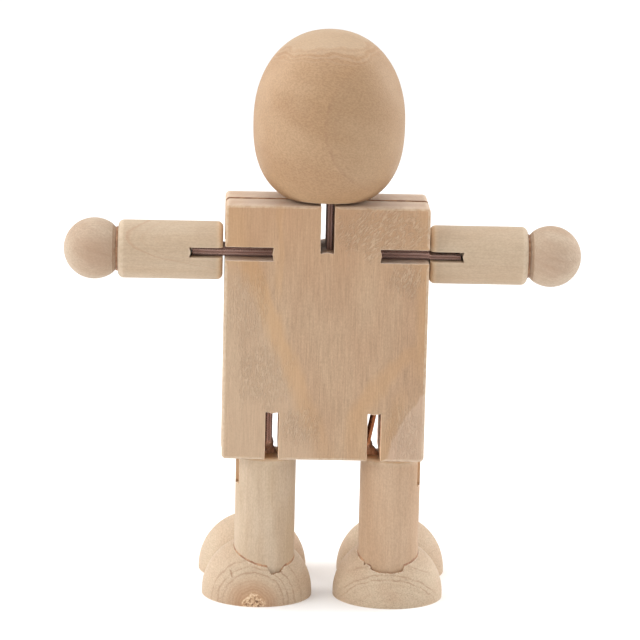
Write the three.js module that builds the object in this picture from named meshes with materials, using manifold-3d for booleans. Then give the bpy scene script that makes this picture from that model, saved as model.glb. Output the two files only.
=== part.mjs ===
// Wooden jointed figure: a turned head, a torso glued up from two plates, and dowel
// limbs held by short elastic straps that sit in saw kerfs.
// Millimetres, +Z up, toes towards +Y. The origin is under the middle of the whole figure,
// on the surface that it stands on.

import * as THREE from "three";
import { RoundedBoxGeometry } from "three/addons/geometries/RoundedBoxGeometry.js";
import { mergeVertices } from "three/addons/utils/BufferGeometryUtils.js";
import Module from "manifold-3d";

const wasm = await Module();
wasm.setup();

// Clearances and the cutting overrun
const fitGap = 0.3;
const seatGap = 0.3;
const overrun = 2.0;

// Torso: two plates glued face to face, with eased edges
const torsoWidth = 40.0;
const torsoHeight = 51.0;
const plateThickness = 7.75;
const torsoEdgeRadius = 0.9;

// Saw kerfs in the torso. The blade leaves a low ridge along the middle of the floor.
const kerfWidth = 2.65;
const kerfDepth = 9.6;
const kerfRidge = 0.28;
const shoulderKerfDrop = 9.9;
const hipKerfInset = 9.95;

// Elastic straps, and the hidden pocket and pin that hold the inner end of each
const strapWidth = 6.0;
const strapThickness = 1.4;
const pocketDepth = 5.0;
const anchorPinDiameter = 1.2;
const anchorPinLength = 6.0;
const bunchedWidth = 2.8;
const bunchedThickness = 1.9;
const gatherLength = 2.6;
const rightHipStrapShift = 1.2;

// Arms: dowels with rounded ends, a strap kerf at one end and a tenon at the other
const armDiameter = 11.5;
const leftArmLength = 20.6;
const rightArmLength = 19.3;
const armEndRadius = 1.2;
const armKerfDepth = 6.6;
const limbKerfWidth = 2.0;
const armKerfRise = 0.45;
const tenonDiameter = 4.0;
const tenonLength = 4.5;

// Hands: wooden balls with a flat where they meet the arm
const handDiameter = 12.1;
const handFlatDistance = 4.35;

// Legs: dowels with a strap kerf across the top, glued into the feet
const legDiameter = 12.0;
const legTopRadius = 0.8;
const legKerfDepth = 6.0;
const leftLegInset = 9.0;
const rightLegInset = 6.2;

// Feet: a turned peanut form, sawn in half lengthways
const footRadius = 11.0;
const humpSpacing = 18.6;
const footWaistRadius = 7.0;
const humpCentreHeight = 0.7;
const heelSetback = 2.4;
const leftHeelSideShift = 1.2;
const rightHeelSideShift = 0.0;
const socketFloorThickness = 2.7;
const standHeight = 29.9;
const leftToeOut = THREE.MathUtils.degToRad(2.5);
const rightToeOut = THREE.MathUtils.degToRad(4.0);

// Head: an egg with a flat base, and the slotted peg that grips the neck strap inside it
const headRadius = 14.85;
const headCrown = 18.2;
const headBaseDepth = 14.9;
const headBaseRadius = 8.2;
const crownPower = 2.15;
const jawPower = 2.5;
const neckPegDiameter = 6.6;
const neckPegLength = 9.0;
const neckPegRecess = 1.5;
const neckPegWeb = 2.0;

// Facet counts
const headSegments = 48;
const limbSegments = 40;
const handSegments = 36;
const footSegments = 52;
const pinSegments = 16;
const edgeSteps = 3;
const gatherSteps = 4;

// Places that follow from the sizes
const torsoBottom = standHeight;
const torsoTop = torsoBottom + torsoHeight;
const hipKerfOffset = torsoWidth / 2 - hipKerfInset;
const leftLegOffset = torsoWidth / 2 - leftLegInset;
const rightLegOffset = torsoWidth / 2 - rightLegInset;
const strapInset = kerfDepth + pocketDepth - fitGap;
const pinInset = kerfDepth + pocketDepth / 2;
const strapWallOffset = kerfWidth / 2 - strapThickness / 2 - fitGap;
const shoulderKerfHeight = torsoTop - shoulderKerfDrop;
const shoulderStrapHeight = shoulderKerfHeight - strapWallOffset;
const armAxisHeight = shoulderStrapHeight - armKerfRise;
const legTop = torsoBottom - seatGap;
const headBase = torsoTop + seatGap;
const headCentre = headBase + headBaseDepth;

const woodPale = new THREE.Color(0.86, 0.72, 0.54);
const woodWarm = new THREE.Color(0.8, 0.63, 0.46);
const strapBrown = new THREE.Color(0.2, 0.12, 0.12);
const steelGrey = new THREE.Color(0.55, 0.55, 0.56);

// Solids from geometry, and back

function toSolid(geometry) {
  geometry.deleteAttribute("normal");
  geometry.deleteAttribute("uv");
  const merged = mergeVertices(geometry);
  const index = merged.index.array;
  const corners = [];
  for (let i = 0; i < index.length; i += 3) {
    const [a, b, c] = [index[i], index[i + 1], index[i + 2]];
    if (a !== b && b !== c && c !== a) corners.push(a, b, c);
  }
  return new wasm.Manifold(new wasm.Mesh({
    numProp: 3,
    vertProperties: new Float32Array(merged.attributes.position.array),
    triVerts: new Uint32Array(corners),
  }));
}

function toGeometry(solid) {
  const mesh = solid.getMesh();
  const geometry = new THREE.BufferGeometry();
  geometry.setAttribute("position", new THREE.BufferAttribute(mesh.vertProperties, 3));
  geometry.setIndex(new THREE.BufferAttribute(mesh.triVerts, 1));
  geometry.computeVertexNormals();
  return geometry;
}

function cut(geometry, ...cutters) {
  let solid = toSolid(geometry);
  for (const cutter of cutters) solid = solid.subtract(toSolid(cutter));
  return toGeometry(solid);
}

function piece(name, geometry, color, roughness, metalness = 0) {
  const material = new THREE.MeshStandardMaterial({ color, roughness, metalness });
  const mesh = new THREE.Mesh(geometry, material);
  mesh.name = name;
  return mesh;
}

// Shared shapes

// Profile points on an arc about a centre, from one angle to another
function arcPoints(centreX, centreY, radius, from, to, steps) {
  const points = [];
  for (let i = 0; i <= steps; i++) {
    const angle = from + ((to - from) * i) / steps;
    points.push(new THREE.Vector2(centreX + radius * Math.cos(angle), centreY + radius * Math.sin(angle)));
  }
  return points;
}

// A saw kerf with its mouth at the origin, cut down the shape's -Y and run along its Z.
// turn is the angle from +Z to the mouth's direction; the kerf then runs along Y.
function kerfCutter(width, depth, length, turn) {
  const outline = new THREE.Shape();
  outline.moveTo(-width / 2, overrun);
  outline.lineTo(-width / 2, -depth);
  outline.lineTo(0, kerfRidge - depth);
  outline.lineTo(width / 2, -depth);
  outline.lineTo(width / 2, overrun);
  outline.closePath();
  const geometry = new THREE.ExtrudeGeometry(outline, { depth: length, bevelEnabled: false });
  geometry.translate(0, 0, -length / 2);
  geometry.rotateZ(turn);
  geometry.rotateX(Math.PI / 2);
  return geometry;
}

function rod(diameter, length, segments) {
  return new THREE.CylinderGeometry(diameter / 2, diameter / 2, length, segments);
}

// Torso

// Where each strap enters the torso: the kerf's mouth, the way it opens, and the
// place of the strap across the kerf
const strapSeats = {
  neck: { mouth: [0, torsoTop], turn: 0, across: [strapWallOffset, 0] },
  left_shoulder: { mouth: [-torsoWidth / 2, shoulderKerfHeight], turn: Math.PI / 2, across: [0, -strapWallOffset] },
  right_shoulder: { mouth: [torsoWidth / 2, shoulderKerfHeight], turn: -Math.PI / 2, across: [0, -strapWallOffset] },
  left_hip: { mouth: [-hipKerfOffset, torsoBottom], turn: Math.PI, across: [-strapWallOffset, 0] },
  right_hip: { mouth: [hipKerfOffset, torsoBottom], turn: Math.PI, across: [-strapWallOffset, 0] },
};

// A point on a strap's middle line, as deep inside the torso as asked
function strapPoint(seat, inset) {
  const x = seat.mouth[0] + seat.across[0] + Math.sin(seat.turn) * inset;
  const z = seat.mouth[1] + seat.across[1] - Math.cos(seat.turn) * inset;
  return new THREE.Vector3(x, 0, z);
}

function torsoBlock() {
  const geometry = new RoundedBoxGeometry(
    torsoWidth, 2 * plateThickness, torsoHeight, edgeSteps, torsoEdgeRadius);
  geometry.translate(0, 0, torsoBottom + torsoHeight / 2);
  return geometry;
}

// The hidden pocket behind a kerf's floor, as wide and thick as the strap and its clearance
function pocketCutter(seat) {
  const deep = pocketDepth + kerfDepth;
  const geometry = new THREE.BoxGeometry(strapThickness + 2 * fitGap, strapWidth + 2 * fitGap, deep);
  geometry.rotateY(seat.turn);
  const middle = strapPoint(seat, deep / 2);
  geometry.translate(middle.x, middle.y, middle.z);
  return geometry;
}

// An anchor pin lies in the glue seam, square to its strap
function anchorPinShape(seat, diameter, length) {
  const geometry = rod(diameter, length, pinSegments);
  geometry.rotateZ(Math.PI / 2);
  geometry.rotateY(seat.turn);
  const middle = strapPoint(seat, pinInset);
  geometry.translate(middle.x, middle.y, middle.z);
  return geometry;
}

function torsoPlates() {
  let block = toSolid(torsoBlock());
  for (const seat of Object.values(strapSeats)) {
    const kerf = kerfCutter(kerfWidth, kerfDepth, 2 * (plateThickness + overrun), seat.turn);
    kerf.translate(seat.mouth[0], 0, seat.mouth[1]);
    block = block.subtract(toSolid(kerf));
    block = block.subtract(toSolid(pocketCutter(seat)));
    const grooveSize = anchorPinDiameter + 2 * fitGap;
    block = block.subtract(toSolid(anchorPinShape(seat, grooveSize, anchorPinLength + 2 * fitGap)));
  }
  const side = new THREE.BoxGeometry(
    torsoWidth + 2 * overrun, plateThickness + overrun, torsoHeight + 2 * overrun);
  side.translate(0, -(plateThickness + overrun) / 2, torsoBottom + torsoHeight / 2);
  const front = toSolid(side);
  return [
    piece("torso_front_plate", toGeometry(block.intersect(front)), woodWarm, 0.72),
    piece("torso_back_plate", toGeometry(block.subtract(front)), woodWarm, 0.72),
  ];
}

function anchorPins() {
  return Object.entries(strapSeats).map(([name, seat]) => {
    const geometry = toGeometry(toSolid(anchorPinShape(seat, anchorPinDiameter, anchorPinLength)));
    return piece(`${name}_anchor_pin`, geometry, steelGrey, 0.35, 1);
  });
}

// Straps

// A strap that lies flat all the way, from its pocket to the floor of the kerf beyond
function flatStrap(name, seat, reach) {
  const length = strapInset + reach;
  const geometry = new THREE.BoxGeometry(strapThickness, strapWidth, length);
  geometry.rotateY(seat.turn);
  const middle = strapPoint(seat, strapInset - length / 2);
  geometry.translate(middle.x, middle.y, middle.z);
  const hole = anchorPinShape(seat, anchorPinDiameter + 2 * fitGap, 2 * overrun + strapThickness);
  return piece(name, cut(geometry, hole), strapBrown, 0.85);
}

// A hip strap makes a quarter turn where it leaves the torso: it is gathered narrow
// there, and spreads out again across the leg's kerf
function hipStrap(name, seat, lowerShift) {
  const top = strapPoint(seat, strapInset);
  const stations = [];
  const addStation = (z, share, halfX, halfY) => {
    stations.push({ z, x: top.x + lowerShift * share, half: [halfX, halfY] });
  };
  addStation(top.z, 0, strapThickness / 2, strapWidth / 2);
  for (let i = 0; i <= gatherSteps; i++) {
    const eased = THREE.MathUtils.smoothstep(i / gatherSteps, 0, 1);
    const z = torsoBottom + gatherLength * (1 - i / gatherSteps);
    const halfX = THREE.MathUtils.lerp(strapThickness, bunchedThickness, eased) / 2;
    const halfY = THREE.MathUtils.lerp(strapWidth, bunchedWidth, eased) / 2;
    addStation(z, 0, halfX, halfY);
  }
  for (let i = 0; i <= gatherSteps; i++) {
    const eased = THREE.MathUtils.smoothstep(i / gatherSteps, 0, 1);
    const z = legTop - gatherLength * (i / gatherSteps);
    const halfX = THREE.MathUtils.lerp(bunchedWidth, strapWidth, eased) / 2;
    addStation(z, eased, halfX, strapThickness / 2);
  }
  addStation(legTop - legKerfDepth + kerfRidge + fitGap, 1, strapWidth / 2, strapThickness / 2);
  const corners = [[-1, -1], [1, -1], [1, 1], [-1, 1]];
  const positions = [];
  for (const { z, x, half } of stations) {
    for (const [alongX, alongY] of corners) {
      positions.push(x + alongX * half[0], alongY * half[1], z);
    }
  }
  const faces = [0, 1, 2, 0, 2, 3];
  for (let ring = 0; ring < stations.length - 1; ring++) {
    for (let k = 0; k < corners.length; k++) {
      const next = (k + 1) % corners.length;
      const [a, b] = [ring * corners.length + k, ring * corners.length + next];
      const [c, d] = [a + corners.length, b + corners.length];
      faces.push(a, c, b, b, c, d);
    }
  }
  const last = (stations.length - 1) * corners.length;
  faces.push(last, last + 2, last + 1, last, last + 3, last + 2);
  const geometry = new THREE.BufferGeometry();
  geometry.setAttribute("position", new THREE.Float32BufferAttribute(positions, 3));
  geometry.setIndex(faces);
  const hole = anchorPinShape(seat, anchorPinDiameter + 2 * fitGap, 2 * overrun + strapThickness);
  return piece(name, cut(geometry, hole), strapBrown, 0.85);
}

function straps() {
  const armReach = seatGap + armKerfDepth - kerfRidge - fitGap;
  const headReach = seatGap + neckPegRecess + neckPegLength - neckPegWeb - kerfRidge - fitGap;
  return [
    flatStrap("neck_strap", strapSeats.neck, headReach),
    flatStrap("left_shoulder_strap", strapSeats.left_shoulder, armReach),
    flatStrap("right_shoulder_strap", strapSeats.right_shoulder, armReach),
    hipStrap("left_hip_strap", strapSeats.left_hip, 0),
    hipStrap("right_hip_strap", strapSeats.right_hip, rightHipStrapShift),
  ];
}

// Arms and hands, built along +X from the end that meets the torso

function armPair(side, name, length) {
  const radius = armDiameter / 2;
  const profile = [
    new THREE.Vector2(0, 0),
    ...arcPoints(radius - armEndRadius, armEndRadius, armEndRadius, -Math.PI / 2, 0, edgeSteps),
    ...arcPoints(radius - armEndRadius, length - armEndRadius, armEndRadius, 0, Math.PI / 2, edgeSteps),
    new THREE.Vector2(tenonDiameter / 2, length),
    new THREE.Vector2(tenonDiameter / 2, length + tenonLength),
    new THREE.Vector2(0, length + tenonLength),
  ];
  const dowel = new THREE.LatheGeometry(profile, limbSegments);
  dowel.rotateZ(-Math.PI / 2);
  const kerf = kerfCutter(limbKerfWidth, armKerfDepth, armDiameter + 2 * overrun, Math.PI / 2);
  kerf.translate(0, 0, armKerfRise);
  const arm = piece(`${name}_arm`, cut(dowel, kerf), woodPale, 0.68);

  const ballRadius = handDiameter / 2;
  const flatAngle = -Math.asin(handFlatDistance / ballRadius);
  const ballProfile = [
    new THREE.Vector2(0, -handFlatDistance),
    ...arcPoints(0, 0, ballRadius, flatAngle, Math.PI / 2, handSegments / 2).slice(0, -1),
    new THREE.Vector2(0, ballRadius),
  ];
  const ball = new THREE.LatheGeometry(ballProfile, handSegments);
  ball.rotateZ(-Math.PI / 2);
  const bore = rod(tenonDiameter + 2 * fitGap, 2 * tenonLength, pinSegments);
  bore.rotateZ(-Math.PI / 2);
  bore.translate(-handFlatDistance, 0, 0);
  const hand = piece(`${name}_hand`, cut(ball, bore), woodPale, 0.66);
  hand.position.x = length + seatGap + handFlatDistance;

  const limb = new THREE.Group();
  limb.add(arm, hand);
  limb.position.set(side * (torsoWidth / 2 + seatGap), 0, armAxisHeight);
  limb.rotation.z = side > 0 ? 0 : Math.PI;
  return limb;
}

// Legs and feet

function leg(name, x) {
  const radius = legDiameter / 2;
  const bottom = socketFloorThickness + seatGap;
  const profile = [
    new THREE.Vector2(0, bottom),
    new THREE.Vector2(radius, bottom),
    ...arcPoints(radius - legTopRadius, legTop - legTopRadius, legTopRadius, 0, Math.PI / 2, edgeSteps),
    new THREE.Vector2(0, legTop),
  ];
  const dowel = new THREE.LatheGeometry(profile, limbSegments);
  dowel.rotateX(Math.PI / 2);
  const kerf = kerfCutter(limbKerfWidth, legKerfDepth, legDiameter + 2 * overrun, 0);
  kerf.rotateZ(Math.PI / 2);
  kerf.translate(0, 0, legTop);
  const mesh = piece(name, cut(dowel, kerf), woodPale, 0.68);
  mesh.position.x = x;
  return mesh;
}

// The turned outline has two equal humps and a waist whose hollow is tangent to both
function footProfile() {
  const half = humpSpacing / 2;
  const hollowRadius =
    (half * half + footWaistRadius * footWaistRadius - footRadius * footRadius) /
    (2 * (footRadius - footWaistRadius));
  const touch = Math.atan2(footWaistRadius + hollowRadius, half);
  const steps = Math.round(footSegments / 4);
  return [
    new THREE.Vector2(0, -footRadius),
    ...arcPoints(0, 0, footRadius, -Math.PI / 2, Math.PI / 2 - touch, steps).slice(1),
    ...arcPoints(footWaistRadius + hollowRadius, half, hollowRadius,
      1.5 * Math.PI - touch, Math.PI / 2 + touch, edgeSteps + 1).slice(1, -1),
    ...arcPoints(0, humpSpacing, footRadius, touch - Math.PI / 2, Math.PI / 2, steps).slice(0, -1),
    new THREE.Vector2(0, humpSpacing + footRadius),
  ];
}

function foot(name, x, side, heelSideShift, toeOut) {
  const peanut = new THREE.LatheGeometry(footProfile(), footSegments);
  peanut.translate(side * heelSideShift, heelSetback, humpCentreHeight);
  const length = humpSpacing + 2 * footRadius;
  const half = new THREE.BoxGeometry(2 * footRadius + 2 * overrun, length + 2 * overrun, footRadius + overrun);
  half.translate(side * heelSideShift, heelSetback + humpSpacing / 2, (footRadius + overrun) / 2);
  const socket = rod(legDiameter + 2 * fitGap, 2 * footRadius, limbSegments);
  socket.rotateX(Math.PI / 2);
  socket.translate(0, 0, socketFloorThickness + footRadius);
  const solid = toSolid(peanut).intersect(toSolid(half)).subtract(toSolid(socket));
  const mesh = piece(name, toGeometry(solid), woodWarm, 0.74);
  mesh.position.x = x;
  mesh.rotation.z = -side * toeOut;
  return mesh;
}

// Head and its peg

function head() {
  const baseShare = headBaseRadius / headRadius;
  const jawStart = Math.acos(Math.pow(baseShare, jawPower / 2));
  const jawReach = headBaseDepth / Math.pow(Math.sin(jawStart), 2 / jawPower);
  const steps = Math.round(headSegments / 4);
  const jaw = [];
  for (let i = 0; i <= steps; i++) {
    const angle = jawStart * (1 - i / steps);
    const radius = headRadius * Math.pow(Math.cos(angle), 2 / jawPower);
    jaw.push(new THREE.Vector2(radius, -jawReach * Math.pow(Math.sin(angle), 2 / jawPower)));
  }
  const crown = [];
  for (let i = 1; i < steps; i++) {
    const angle = ((Math.PI / 2) * i) / steps;
    const radius = headRadius * Math.pow(Math.cos(angle), 2 / crownPower);
    crown.push(new THREE.Vector2(radius, headCrown * Math.pow(Math.sin(angle), 2 / crownPower)));
  }
  const profile = [
    new THREE.Vector2(0, -headBaseDepth), ...jaw, ...crown, new THREE.Vector2(0, headCrown)];
  const egg = new THREE.LatheGeometry(profile, headSegments);
  egg.rotateX(Math.PI / 2);
  const boreDepth = neckPegRecess + neckPegLength + seatGap;
  const bore = rod(neckPegDiameter + 2 * fitGap, 2 * boreDepth, limbSegments);
  bore.rotateX(Math.PI / 2);
  bore.translate(strapWallOffset, 0, -headBaseDepth);
  const mesh = piece("head", cut(egg, bore), woodWarm, 0.62);
  mesh.position.z = headCentre;
  return mesh;
}

function neckPeg() {
  const dowel = rod(neckPegDiameter, neckPegLength, limbSegments);
  dowel.rotateX(Math.PI / 2);
  dowel.translate(0, 0, neckPegLength / 2);
  const slot = kerfCutter(limbKerfWidth, neckPegLength - neckPegWeb, neckPegDiameter + 2 * overrun, Math.PI);
  const mesh = piece("neck_peg", cut(dowel, slot), woodPale, 0.7);
  mesh.position.set(strapWallOffset, 0, headBase + neckPegRecess);
  return mesh;
}

// The whole figure, moved so that the origin is under the middle of its box

function figure() {
  const group = new THREE.Group();
  group.add(
    head(),
    neckPeg(),
    ...torsoPlates(),
    ...anchorPins(),
    ...straps(),
    armPair(-1, "left", leftArmLength),
    armPair(1, "right", rightArmLength),
    leg("left_leg", -leftLegOffset),
    leg("right_leg", rightLegOffset),
    foot("left_foot", -leftLegOffset, -1, leftHeelSideShift, leftToeOut),
    foot("right_foot", rightLegOffset, 1, rightHeelSideShift, rightToeOut),
  );
  const box = new THREE.Box3().setFromObject(group);
  const middle = box.getCenter(new THREE.Vector3());
  group.position.set(-middle.x, -middle.y, 0);
  return group;
}

export default figure();
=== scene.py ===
"""Wooden dashboard figure: the fine shape and finish of every piece, built round its fixed frame.

Lengths are in metres, +Z is up, the toes point to +Y and the photograph looks from -Y. MM turns a size
in millimetres into metres. The frame gives the place of each piece; the classes below hold its sizes.
"""

import logging
import math
import random
from collections.abc import Callable, Sequence
from dataclasses import dataclass, field
from enum import Enum

import bmesh
import bpy
from mathutils import Matrix, Vector


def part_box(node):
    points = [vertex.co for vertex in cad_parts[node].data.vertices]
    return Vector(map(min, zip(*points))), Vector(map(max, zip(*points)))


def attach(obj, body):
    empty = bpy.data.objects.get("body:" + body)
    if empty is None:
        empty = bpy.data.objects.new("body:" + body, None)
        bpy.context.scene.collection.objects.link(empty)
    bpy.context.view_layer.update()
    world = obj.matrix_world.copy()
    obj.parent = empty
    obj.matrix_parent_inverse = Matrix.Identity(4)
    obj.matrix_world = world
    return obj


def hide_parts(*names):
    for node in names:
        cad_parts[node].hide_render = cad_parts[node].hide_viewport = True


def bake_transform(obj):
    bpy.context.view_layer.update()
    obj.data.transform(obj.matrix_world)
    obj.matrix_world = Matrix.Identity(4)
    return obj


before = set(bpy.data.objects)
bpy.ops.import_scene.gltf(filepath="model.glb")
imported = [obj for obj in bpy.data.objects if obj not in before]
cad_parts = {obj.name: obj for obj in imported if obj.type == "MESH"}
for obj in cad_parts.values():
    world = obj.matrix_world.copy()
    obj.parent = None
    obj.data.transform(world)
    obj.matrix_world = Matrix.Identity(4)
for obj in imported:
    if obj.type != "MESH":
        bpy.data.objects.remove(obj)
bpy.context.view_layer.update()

MM = 0.001
PHOTO_SIDE = 640
EDGE_MAP = "edge_bend"
WEAVE_MAP = "weave_place"
LOG = logging.getLogger("figure")

Socket = bpy.types.NodeSocket
Sockets = dict[str, Socket]
Solid = bpy.types.Object
Material = bpy.types.Material
Node = bpy.types.Node
NodeTree = bpy.types.NodeTree
Rgb = tuple[float, float, float]
Profile = list[tuple[float, float]]
Corner = tuple[Vector, float, bool]
Bodies = tuple[str, str, str]


class Side(Enum):
    """The two sides of the figure as the camera sees them; the value is the side's direction along X."""

    LEFT = -1
    RIGHT = 1

    @property
    def word(self) -> str:
        """The side's name in the names of pieces."""
        return self.name.lower()

    def pick(self, left: object, right: object) -> object:
        """The one of two things that belongs to this side."""
        return left if self is Side.LEFT else right


@dataclass(frozen=True)
class Extent:
    """The box of a node of the frame, in metres."""

    low: Vector
    high: Vector

    @classmethod
    def of(cls, node: str) -> "Extent":
        """Reads the box of one node of the frame."""
        low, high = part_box(node)
        return cls(Vector(low), Vector(high))

    @property
    def centre(self) -> Vector:
        """The middle of the box."""
        return (self.low + self.high) / 2

    @property
    def size(self) -> Vector:
        """The box's three lengths."""
        return self.high - self.low


@dataclass(frozen=True)
class Axis:
    """A turning axis: where it starts, where it points and where its angle zero lies."""

    start: Vector
    along: Vector
    across: Vector

    @property
    def third(self) -> Vector:
        """The direction square to the axis and to its angle zero."""
        return self.along.cross(self.across)

    def point(self, radius: float, angle: float, height: float) -> Vector:
        """The point at a distance from the axis, an angle from across in radians and a height along it."""
        ray = self.across * math.cos(angle) + self.third * math.sin(angle)
        return self.start + self.along * height + ray * radius


# Mesh making


def arc(centre: tuple[float, float], radius: float, start: float, end: float, steps: int) -> Profile:
    """Points on a circular arc from a first to a last angle in degrees, one more than its steps."""
    angles = [math.radians(start + (end - start) * i / steps) for i in range(steps + 1)]
    return [(centre[0] + radius * math.cos(a), centre[1] + radius * math.sin(a)) for a in angles]


def subdivide(profile: Profile, step: float) -> Profile:
    """Adds points to a profile so that none of its runs is longer than a step.

    Args:
        profile: the points in order.
        step: the longest run that stays.

    Returns:
        The same line with more points on it.
    """
    points = [profile[0]]
    for (ax, ay), (bx, by) in zip(profile, profile[1:]):
        count = max(1, math.ceil(math.hypot(bx - ax, by - ay) / step))
        points += [(ax + (bx - ax) * i / count, ay + (by - ay) * i / count) for i in range(1, count + 1)]
    return points


def make_piece(name: str, vertices: Sequence[Vector], faces: Sequence[Sequence[int]]) -> Solid:
    """Makes an object and links it to the scene.

    Args:
        name: the object's name.
        vertices: places in the figure's frame.
        faces: vertex numbers of each face.

    Returns:
        The object.
    """
    mesh = bpy.data.meshes.new(name)
    mesh.from_pydata([tuple(v) for v in vertices], [], [tuple(f) for f in faces])
    mesh.update()
    piece = bpy.data.objects.new(name, mesh)
    bpy.context.collection.objects.link(piece)
    return piece


def loft(name: str, rings: Sequence[Sequence[Vector]], loop: bool = False) -> Solid:
    """Joins closed rings of equal length into a solid.

    Args:
        name: the object's name.
        rings: the rings in order.
        loop: joins the last ring to the first; otherwise both ends are flat.

    Returns:
        The closed solid.
    """
    count = len(rings[0])
    vertices = [point for ring in rings for point in ring]
    faces: list[Sequence[int]] = [] if loop else [list(range(count))]
    for level in range(len(rings) if loop else len(rings) - 1):
        base, over = level * count, (level + 1) % len(rings) * count
        for i in range(count):
            j = (i + 1) % count
            faces.append((base + i, base + j, over + j, over + i))
    if not loop:
        faces.append([len(vertices) - count + i for i in range(count)])
    return make_piece(name, vertices, faces)


def revolve(name: str, axis: Axis, profile: Profile, segments: int) -> Solid:
    """Turns a profile that starts and ends on the axis into a solid.

    Args:
        name: the object's name.
        axis: the turning axis.
        profile: (radius, height) points; the first and the last have radius 0.
        segments: steps round the axis.

    Returns:
        The closed solid.
    """
    turns = [math.tau * i / segments for i in range(segments)]
    vertices = [axis.point(0, 0, profile[0][1])]
    for radius, height in profile[1:-1]:
        vertices += [axis.point(radius, turn, height) for turn in turns]
    vertices.append(axis.point(0, 0, profile[-1][1]))
    last = len(vertices) - 1
    faces: list[Sequence[int]] = []
    for i in range(segments):
        j = (i + 1) % segments
        faces.append((0, 1 + j, 1 + i))
        for level in range(len(profile) - 3):
            base = 1 + level * segments
            faces.append((base + i, base + j, base + segments + j, base + segments + i))
        faces.append((last, last - segments + i, last - segments + j))
    return make_piece(name, vertices, faces)


def apply_modifiers(piece: Solid) -> None:
    """Replaces the mesh of a piece by what its modifiers make of it."""
    bpy.context.view_layer.update()
    evaluated = piece.evaluated_get(bpy.context.evaluated_depsgraph_get())
    mesh = bpy.data.meshes.new_from_object(evaluated)
    piece.modifiers.clear()
    piece.data = mesh


def carve(piece: Solid, cutter: Solid) -> None:
    """Cuts one solid out of another and removes the cutter.

    Args:
        piece: the solid that stays.
        cutter: the solid that is taken away.
    """
    for solid in (piece, cutter):
        face_outwards(solid)
    cut = piece.modifiers.new("cut", "BOOLEAN")
    cut.operation = "DIFFERENCE"
    cut.solver = "EXACT"
    cut.object = cutter
    apply_modifiers(piece)
    bpy.data.objects.remove(cutter)


def face_outwards(piece: Solid) -> None:
    """Turns every face of a closed solid to the outside."""
    work = bmesh.new()
    work.from_mesh(piece.data)
    bmesh.ops.recalc_face_normals(work, faces=work.faces)
    work.to_mesh(piece.data)
    work.free()


def ease_edges(piece: Solid, width: float = 0.13 * MM, angle: float = 50.0) -> None:
    """Rounds the edges of a piece that the saw left sharp.

    Args:
        piece: the solid.
        width: how far the rounding reaches from the edge.
        angle: edges sharper than this many degrees are rounded.
    """
    bevel = piece.modifiers.new("ease", "BEVEL")
    bevel.width = width
    bevel.segments = 2
    bevel.limit_method = "ANGLE"
    bevel.angle_limit = math.radians(angle)
    bevel.use_clamp_overlap = True
    apply_modifiers(piece)


def settle(piece: Solid, sharp: float = 42.0) -> Solid:
    """Closes a mesh's making: faces outwards, smooth shading, and the map of bends for worn edges and
    painted corner shade.

    The map holds how strongly the surface bends at each vertex: 1 on a crisp outer edge, -1 in a
    crisp inner corner and 0 on flat or gently curved wood.

    Args:
        piece: the finished solid.
        sharp: edges sharper than this many degrees keep a crisp shade.

    Returns:
        The same piece.
    """
    crisp_bend = 2.2 / MM
    least_reach = 0.12 * MM
    work = bmesh.new()
    work.from_mesh(piece.data)
    bmesh.ops.remove_doubles(work, verts=work.verts, dist=0.002 * MM)
    bmesh.ops.recalc_face_normals(work, faces=work.faces)
    work.normal_update()
    bends = []
    for vertex in work.verts:
        bend = 0.0
        for edge in vertex.link_edges:
            reach = edge.other_vert(vertex).co - vertex.co
            length = max(reach.length, least_reach)
            bend = max(bend, -2 * reach.dot(vertex.normal) / length**2, key=abs)
        bends.append(min(1.0, max(-1.0, bend / crisp_bend)))
    work.to_mesh(piece.data)
    work.free()
    piece.data.attributes.new(EDGE_MAP, "FLOAT", "POINT").data.foreach_set("value", bends)
    piece.data.shade_smooth()
    piece.data.set_sharp_from_angle(angle=math.radians(sharp))
    return piece


def dress(piece: Solid, material: Material) -> None:
    """Gives a piece one material in place of those that it has."""
    piece.data.materials.clear()
    piece.data.materials.append(material)


def finish_piece(piece: Solid, material: Material, slot: str, body: str, *nodes: str) -> None:
    """Dresses a piece, hangs it on its body and hides the frame's nodes that it stands for.

    Args:
        piece: the finished solid.
        material: its material.
        slot: not used.
        body: the body that carries it.
        nodes: the nodes that it replaces.
    """
    dress(piece, material)
    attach(piece, body)
    if nodes:
        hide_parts(*nodes)
    LOG.info("%s: %d faces, rides on %s", piece.name, len(piece.data.polygons), body)


# Shader graphs


def srgb(colour: Sequence[float]) -> tuple[float, ...]:
    """The linear colour that a shader takes, from screen values of 0 to 255."""
    shares = [value / 255 for value in colour]
    return (*[c / 12.92 if c <= 0.04045 else ((c + 0.055) / 1.055) ** 2.4 for c in shares], 1.0)


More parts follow.
